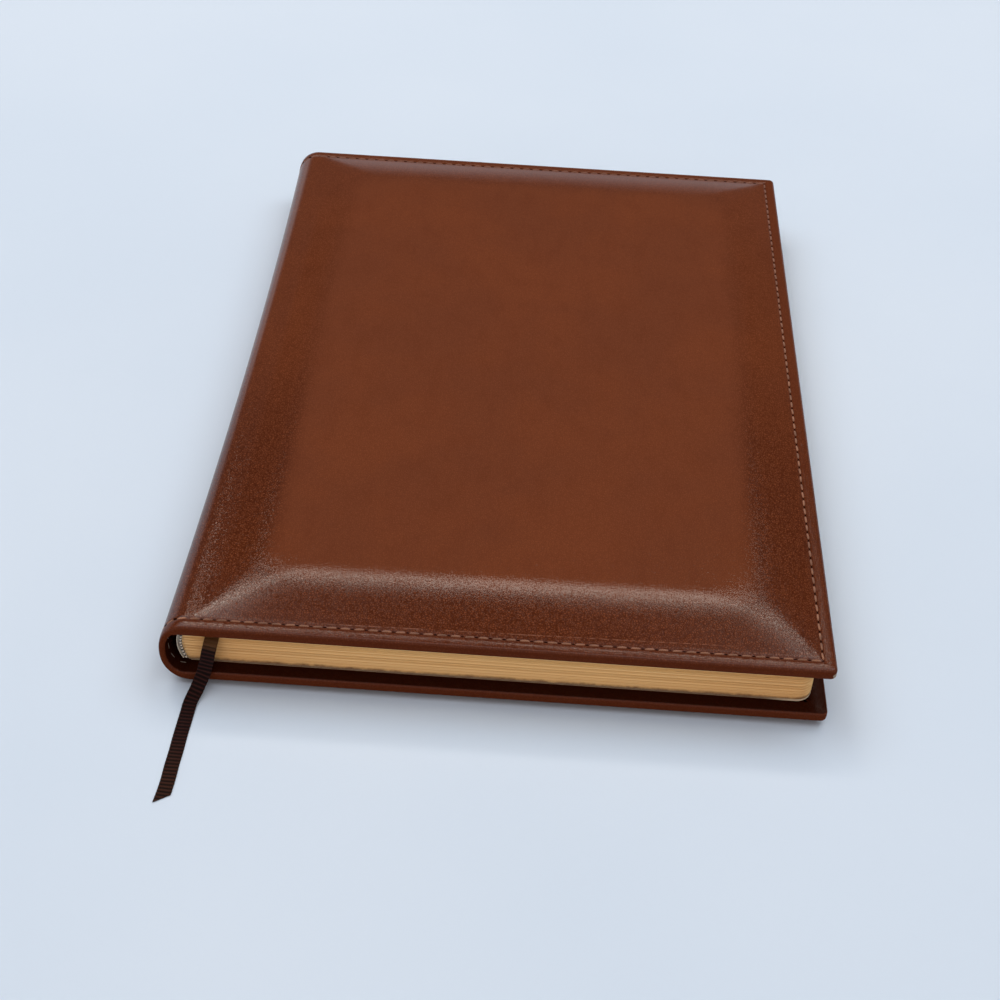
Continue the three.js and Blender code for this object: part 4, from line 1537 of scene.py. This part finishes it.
def leaf_outline(low, high, corner):
    """A closed level outline of a sheet whose two fore corners are round."""
    xs = stations(low[0], (low[0] + FOLD_CORNER, FOLD_CORNER), (high[0] - corner, OUTLINE_STEP))
    ys = stations(low[1] + corner, (high[1] - corner, OUTLINE_STEP))
    angle = np.linspace(-np.pi / 2, 0, ROUND_POINTS)[1:-1] if corner > 0 else np.empty(0)
    arc = np.stack([high[0] - corner + corner * np.cos(angle),
                    low[1] + corner + corner * np.sin(angle)], axis=1)
    tail = np.stack([xs, np.full_like(xs, low[1])], axis=1)
    fore = np.stack([np.full_like(ys, high[0]), ys], axis=1)
    shared = 0 if corner > 0 else 1
    head = np.concatenate([tail, arc])[::-1] * np.array([1, -1]) + np.array([0, low[1] + high[1]])
    return np.concatenate([tail, arc, fore[shared:], head[shared:]])


def inward(outline):
    """Unit directions into a closed outline, square to the line through its neighbours."""
    way = np.roll(outline, -1, axis=0) - np.roll(outline, 1, axis=0)
    way /= np.linalg.norm(way, axis=1, keepdims=True) + 1e-12
    return np.stack([-way[:, 1], way[:, 0]], axis=1)


print("a leaf's outline has", len(leaf_outline(*node_box("section_01"), FORE_ROUND)), "points")

# %% [markdown]
# ### Sections
#
# Chance moves each leaf in or out a little and lets the trimmed edge drift along its length.
# The chance is seeded with the section's number, so it falls the same way each time. The two
# outer faces are drawn in by a little more, which rounds the section's rims.

# %% Uneven leaves
LEAF_NOTCH = 0.05
LEAF_SCATTER = 0.06
EDGE_DRIFT = 0.05
DRIFT_REACH = 25


def leaf_insets(count, size, chance):
    """How far each point of each ring is drawn in: notches between leaves, a chance shift for
    each leaf, and a slow drift along the outline (chance numbers averaged over 25 points)."""
    rings = 2 * count + 1
    scatter = np.repeat(chance.uniform(0, LEAF_SCATTER, count + 1), 2)[:rings]
    waver = chance.normal(0, 1, size + DRIFT_REACH - 1)
    drift = np.convolve(waver, np.ones(DRIFT_REACH) / DRIFT_REACH, "valid") * EDGE_DRIFT
    notches = np.where(np.arange(rings) % 2 == 0, LEAF_NOTCH, 0.0)
    return notches[:, None] + scatter[:, None] + np.abs(drift)


print("leaves lie up to", LEAF_NOTCH + LEAF_SCATTER, "mm out of line")

# %% Sections
LEAF_THICKNESS = 0.104
FACE_DRAWN_IN = 0.12
LEAF_SHARP = math.radians(60)


def paper_stack(name, low, high, corner, round_fold, seed, body):
    """A stack of leaves: rings of the outline at leaf bottoms and tops, closed by two faces.
    A round fold is half an ellipse: h / 2 (1 - sqrt(1 - t^2)), t from -1 to 1 upwards."""
    outline = leaf_outline(low, high, corner)
    into = inward(outline)
    height = high[2] - low[2]
    count = max(1, round(height / LEAF_THICKNESS))
    levels = np.linspace(low[2], high[2], 2 * count + 1)
    inset = leaf_insets(count, len(outline), np.random.default_rng(seed))
    at_spine = np.abs(outline[:, 0] - low[0]) < 0.01
    flat = outline + into * np.where(at_spine, 0, inset)[..., None]
    if round_fold:
        away = 2 * (levels - low[2]) / height - 1
        fold = height / 2 * (1 - np.sqrt(np.clip(1 - away**2, 0, 1)))
        flat[..., 0] += at_spine * fold[:, None]
    rings = grid_points(flat[..., 0], flat[..., 1], levels[:, None])
    drawn_in = np.concatenate([into * FACE_DRAWN_IN, np.zeros((len(outline), 1))], axis=1)
    rings = np.concatenate([rings[:1] + drawn_in, rings, rings[-1:] + drawn_in])
    trimmed = np.ones(rings.shape[:2])
    trimmed[[0, -1]] = 0
    trimmed[:, at_spine] = 0
    piece = add_piece(name, rings.reshape(-1, 3), ring_faces(*rings.shape[:2]), leaves,
                      {"trimmed": trimmed.ravel()}, sharp=LEAF_SHARP)
    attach(piece, body)
    return piece


section_nodes = [name for name in sorted(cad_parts) if name.startswith("section_")]
leaf_bodies = {"section_11_leaves": "lower_leaves", "section_12_leaves": "upper_leaves"}
for number, node in enumerate(section_nodes):
    corner = 0.0 if node.endswith("_fold") else FORE_ROUND
    body = leaf_bodies.get(node, "text_block")
    stack = paper_stack("leaves_of_" + node, *node_box(node), corner, node not in leaf_bodies,
                        number, body)
    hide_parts(node)
print(len(section_nodes), "stacks of leaves")


# %% [markdown]
# ## Headbands
#
# A headband is a strip of cloth with a bead of wound thread along its edge, glued to the ends
# of the block's back. The bead's winding alternates dark and white. It is a tube carried
# along the shallow arc of the folds; its radius swells at every turn of the winding, and a
# mark along its length makes the stripes.

# %% Headband material
HEADBAND_WHITE = colour(232, 222, 202)
HEADBAND_DARK = colour(22, 5, 4)


def make_headband(name):
    """Cotton in two colours, told apart by a mark, with a fine fibre bump."""
    material, tree, shader = new_material(name, Roughness=0.7, Sheen_Weight=0.3)
    stripe = range_node(tree, mark_value(tree, "stripe"), 0.35, 0.65)
    fibres = noise(tree, object_place(tree), 4.0)
    feed(tree, shader, fibres, 0.06,
         Base_Color=mix_node(tree, stripe, HEADBAND_WHITE, HEADBAND_DARK))
    return material


headband_thread = make_headband("headband_thread")
print("headband material is ready")

# %% [markdown]
# ### Bead and tongue
#
# The folds lie on a shallow arc, furthest back half way up the block, and the bead follows
# it just outside the leaves' end. The cloth tongue under it is a thin curved sheet that goes
# down between the folds and the lining.

# %% Headbands
BEAD_RADIUS = 0.27
BEAD_CLEAR = 0.1
BEAD_STEP = 0.09
BEAD_POINTS = 15
WINDING = 0.55
SWELL = 0.09
STRIPE = 0.9
BEAD_TAPER = 0.4
FOLD_ARC = 1.3
FOLDS_FROM_LINING = 0.8
TONGUE_LENGTH = 7.5
TONGUE_BACK = 0.86
TONGUE_THICKNESS = 0.16
block_low = node_box("section_01")[0][2]
block_high = node_box("section_12_fold")[1][2]
block_end = node_box("section_01")[1][1]
lining_back = node_box("spine_lining")[0][0]


def fold_line(z):
    """Where the folds lie: a parabola, furthest back half way up the block."""
    share = (z - (block_low + block_high) / 2) / ((block_high - block_low) / 2)
    return lining_back + FOLDS_FROM_LINING + FOLD_ARC * share * share


def headband(name, node, sign):
    """A bead, whose radius is r (1 + 0.09 cos) of the winding and fades at both ends, and its
    tongue. sign is 1 at the head and -1 at the tail."""
    low, high = node_box(node)
    z = stations(low[2], (high[2], BEAD_STEP))
    around = np.linspace(0, 2 * np.pi, BEAD_POINTS)
    run = z - low[2]
    swell = 1 + SWELL * np.cos(2 * np.pi * run / WINDING)
    ends = np.sqrt(np.clip(np.minimum(run, run[-1] - run) / BEAD_TAPER, 0, 1))
    radius = (BEAD_RADIUS * swell * ends)[:, None]
    bead_y = sign * (block_end + BEAD_RADIUS + BEAD_CLEAR)
    bead = grid_points(fold_line(z)[:, None] - BEAD_CLEAR + radius * np.cos(around),
                       bead_y + radius * np.sin(around), z[:, None])
    stripes = (np.mod(run, STRIPE) < STRIPE / 2).astype(float)[:, None]
    tongue_y = np.array([bead_y, sign * (abs(bead_y) - TONGUE_LENGTH)])
    front = grid_points((fold_line(z) - TONGUE_BACK)[:, None], tongue_y, z[:, None])
    behind = front - np.array([TONGUE_THICKNESS, 0, 0])
    patches = [bead, front, behind, *closing_strips(front, behind)]
    piece = skin(name, patches, headband_thread, {"stripe": [stripes] + [0.0] * 6})
    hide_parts(node)
    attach(piece, "text_block")


headband("tail_headband", "headband_tail", -1)
headband("head_headband", "headband_head", 1)


# %% [markdown]
# ## Papers in the covers and joints
#
# An endpaper is one folded sheet: one half is pasted to the board and the other is the free
# flyleaf. The pasted halves have round fore corners like the leaves. Where the two halves
# meet, the sheet crosses the joint, so a thin strip lies over each joint and joins the pasted
# half to the block.

# %% Pasted papers
for node, body in (("front_pastedown", "front_cover"), ("back_pastedown", "back_cover")):
    low, high = node_box(node)
    outline = leaf_outline(low, high, FORE_ROUND)
    rings = grid_points(outline[:, 0], outline[:, 1], np.array([[low[2]], [high[2]]]))
    sheet = add_piece(node + "_sheet", rings.reshape(-1, 3), ring_faces(*rings.shape[:2]), endpaper)
    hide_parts(node)
    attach(sheet, body)
print("pasted papers", len(outline), "points round")

# %% Joint papers
PAPER_LAP = 0.6
PAPER_CLEAR = 0.02
BEND_STEP = 0.25
front_paste = node_box("front_pastedown")
back_paste = node_box("back_pastedown")


def paper_strip(name, start, end, box):
    """A thin flat strip, as a closed box of grids, dense across the bend."""
    half_length = front_paste[1][1]
    x = stations(start, (end, BEND_STEP))[:, None]
    y = np.array([-half_length, 0, half_length])
    sheets = [grid_points(x, y, z) for z in (box[0][2] + PAPER_CLEAR, box[1][2] - PAPER_CLEAR)]
    piece = skin(name, sheets + closing_strips(*sheets), endpaper)
    return piece


front_joint_paper = paper_strip("front_joint_paper", SPINE_CENTRE - PAPER_LAP, BOARD_START,
                                front_paste)
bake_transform(front_joint_paper)
back_joint_paper = paper_strip("back_joint_paper", BOARD_START, SPINE_CENTRE - PAPER_LAP,
                               back_paste)
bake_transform(back_joint_paper)


# %% [markdown]
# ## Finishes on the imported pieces
#
# The boards, the liner, the foam and the flat papers have their true shape in the packed
# model already, so they only take their finish here.

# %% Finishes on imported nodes
CAD_FINISH = {
    "front_board": card, "back_board": card, "front_infill_card": card, "back_infill_card": card,
    "spine_liner": card, "front_foam_pad": foam, "back_foam_pad": foam, "mull_cloth": gauze,
    "spine_lining": lining_paper, "front_flyleaf": endpaper, "back_flyleaf": endpaper,
    "front_endpaper_hinge": endpaper, "ribbon_marker": silk,
}
for node, material in CAD_FINISH.items():
    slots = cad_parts[node].data.materials
    slots.clear()
    slots.append(material)
print(len(CAD_FINISH), "packed pieces have their finish")


# %% [markdown]
# ## Table
#
# The book lies on a pale blue-white table, which is one large square. Its colour wanders so
# slowly that it reads as an even paper backdrop, and it catches the book's soft shadow.

# %% Table
TABLE = colour(209, 222, 236)
TABLE_CLOUD = colour(205, 219, 234)
TABLE_HALF = 8.0


def make_table():
    """A matt pale surface with a faint, very broad cloud in its colour."""
    material, tree, shader = new_material("table_top", Roughness=0.75)
    cloud = noise(tree, object_place(tree), 0.006, 3.0)
    tint = mix_node(tree, range_node(tree, cloud, 0.3, 0.7), TABLE, TABLE_CLOUD)
    tree.links.new(tint, shader.inputs["Base Color"])
    return material


table_mesh = bpy.data.meshes.new("table")
table_mesh.from_pydata([(-TABLE_HALF, -TABLE_HALF, 0), (TABLE_HALF, -TABLE_HALF, 0),
                        (TABLE_HALF, TABLE_HALF, 0), (-TABLE_HALF, TABLE_HALF, 0)],
                       [], [(0, 1, 2, 3)])
table_mesh.materials.append(make_table())
table = bpy.data.objects.new("table", table_mesh)
bpy.context.scene.collection.objects.link(table)
print("table", 2 * TABLE_HALF, "m wide")

# %% [markdown]
# ## Lights
#
# A long warm window stands behind the book and draws the bright line along the padding's near
# ridge. Two smaller panes beside it light the ridges that run to the corners. Two broad cool
# lights at the sides and one overhead give the plain level at which a colour renders about as
# it is written.

# %% Lights
WARM = (1.0, 0.87, 0.76)
COOL = (0.93, 0.97, 1.0)
NEUTRAL = (0.97, 0.98, 1.0)
ON_BOOK = Vector((0, 0, 0.02))
ON_TABLE = Vector((0, 0, 0))
LAMPS = {
    "window": ((-0.1, 1.05, 1.45), ON_BOOK, 1.6, 0.17, 6.4, WARM),
    "left pane": ((-0.58, 0.9, 1.58), ON_BOOK, 0.26, 0.45, 2.3, WARM),
    "right pane": ((0.36, 0.83, 1.6), ON_BOOK, 0.2, 0.4, 1.0, WARM),
    "left side": ((-1.0, 0.4, 1.8), ON_TABLE, 1.3, 1.3, 13.8, COOL),
    "right side": ((1.0, 0.4, 1.8), ON_TABLE, 1.3, 1.3, 13.8, COOL),
    "ceiling": ((0.0, -0.5, 1.7), ON_TABLE, 1.2, 0.8, 5.0, NEUTRAL),
}
for name, (place, target, width, depth, watts, tint) in LAMPS.items():
    light = bpy.data.lights.new(name, "AREA")
    light.shape = "RECTANGLE"
    light.size = width
    light.size_y = depth
    light.energy = watts
    light.color = tint
    lamp = bpy.data.objects.new(name, light)
    bpy.context.scene.collection.objects.link(lamp)
    facing = (target - Vector(place)).to_track_quat("-Z", "Y")
    lamp.matrix_world = Matrix.Translation(place) @ facing.to_matrix().to_4x4()
print(len(LAMPS), "lights")

# %% [markdown]
# ## Sky
#
# What gloss shows is the room round the book. A bright band lies low on the horizon, up to 7
# degrees, and gives the head's rim its shine. Above 19 degrees the room is dim, so the level
# top of the cover stays a deep brown, and in front of the book it is half bright, which lights
# the faces that look at the camera.

# %% Sky
HORIZON_TOP = math.sin(math.radians(7))
SKY_BASE = math.sin(math.radians(19))
HORIZON_LIGHT = 1.1
SKY_LIGHT = 0.08
FRONT_LIGHT = 0.6
SKY_TINT = colour(226, 234, 244)
FRONT_TINT = colour(255, 236, 228)

world = bpy.data.worlds.new("room")
bpy.context.scene.world = world
world.use_nodes = True
sky = world.node_tree
backdrop = sky.nodes["Background"]
way = add_node(sky, "ShaderNodeTexCoord").outputs["Generated"]
horizon = range_node(sky, one_axis(sky, way, "Z"), HORIZON_TOP, SKY_BASE, HORIZON_LIGHT, SKY_LIGHT)
in_front = range_node(sky, one_axis(sky, way, "Y"), 0.1, -0.6)
front = range_node(sky, in_front, 0.0, 1.0, SKY_LIGHT, FRONT_LIGHT, soft=False)
sky.links.new(math_node(sky, "MAXIMUM", horizon, front), backdrop.inputs["Strength"])
sky.links.new(mix_node(sky, in_front, SKY_TINT, FRONT_TINT), backdrop.inputs["Color"])
bpy.context.scene.view_settings.view_transform = "Standard"
print("horizon", HORIZON_LIGHT, "sky", SKY_LIGHT, "front", FRONT_LIGHT)
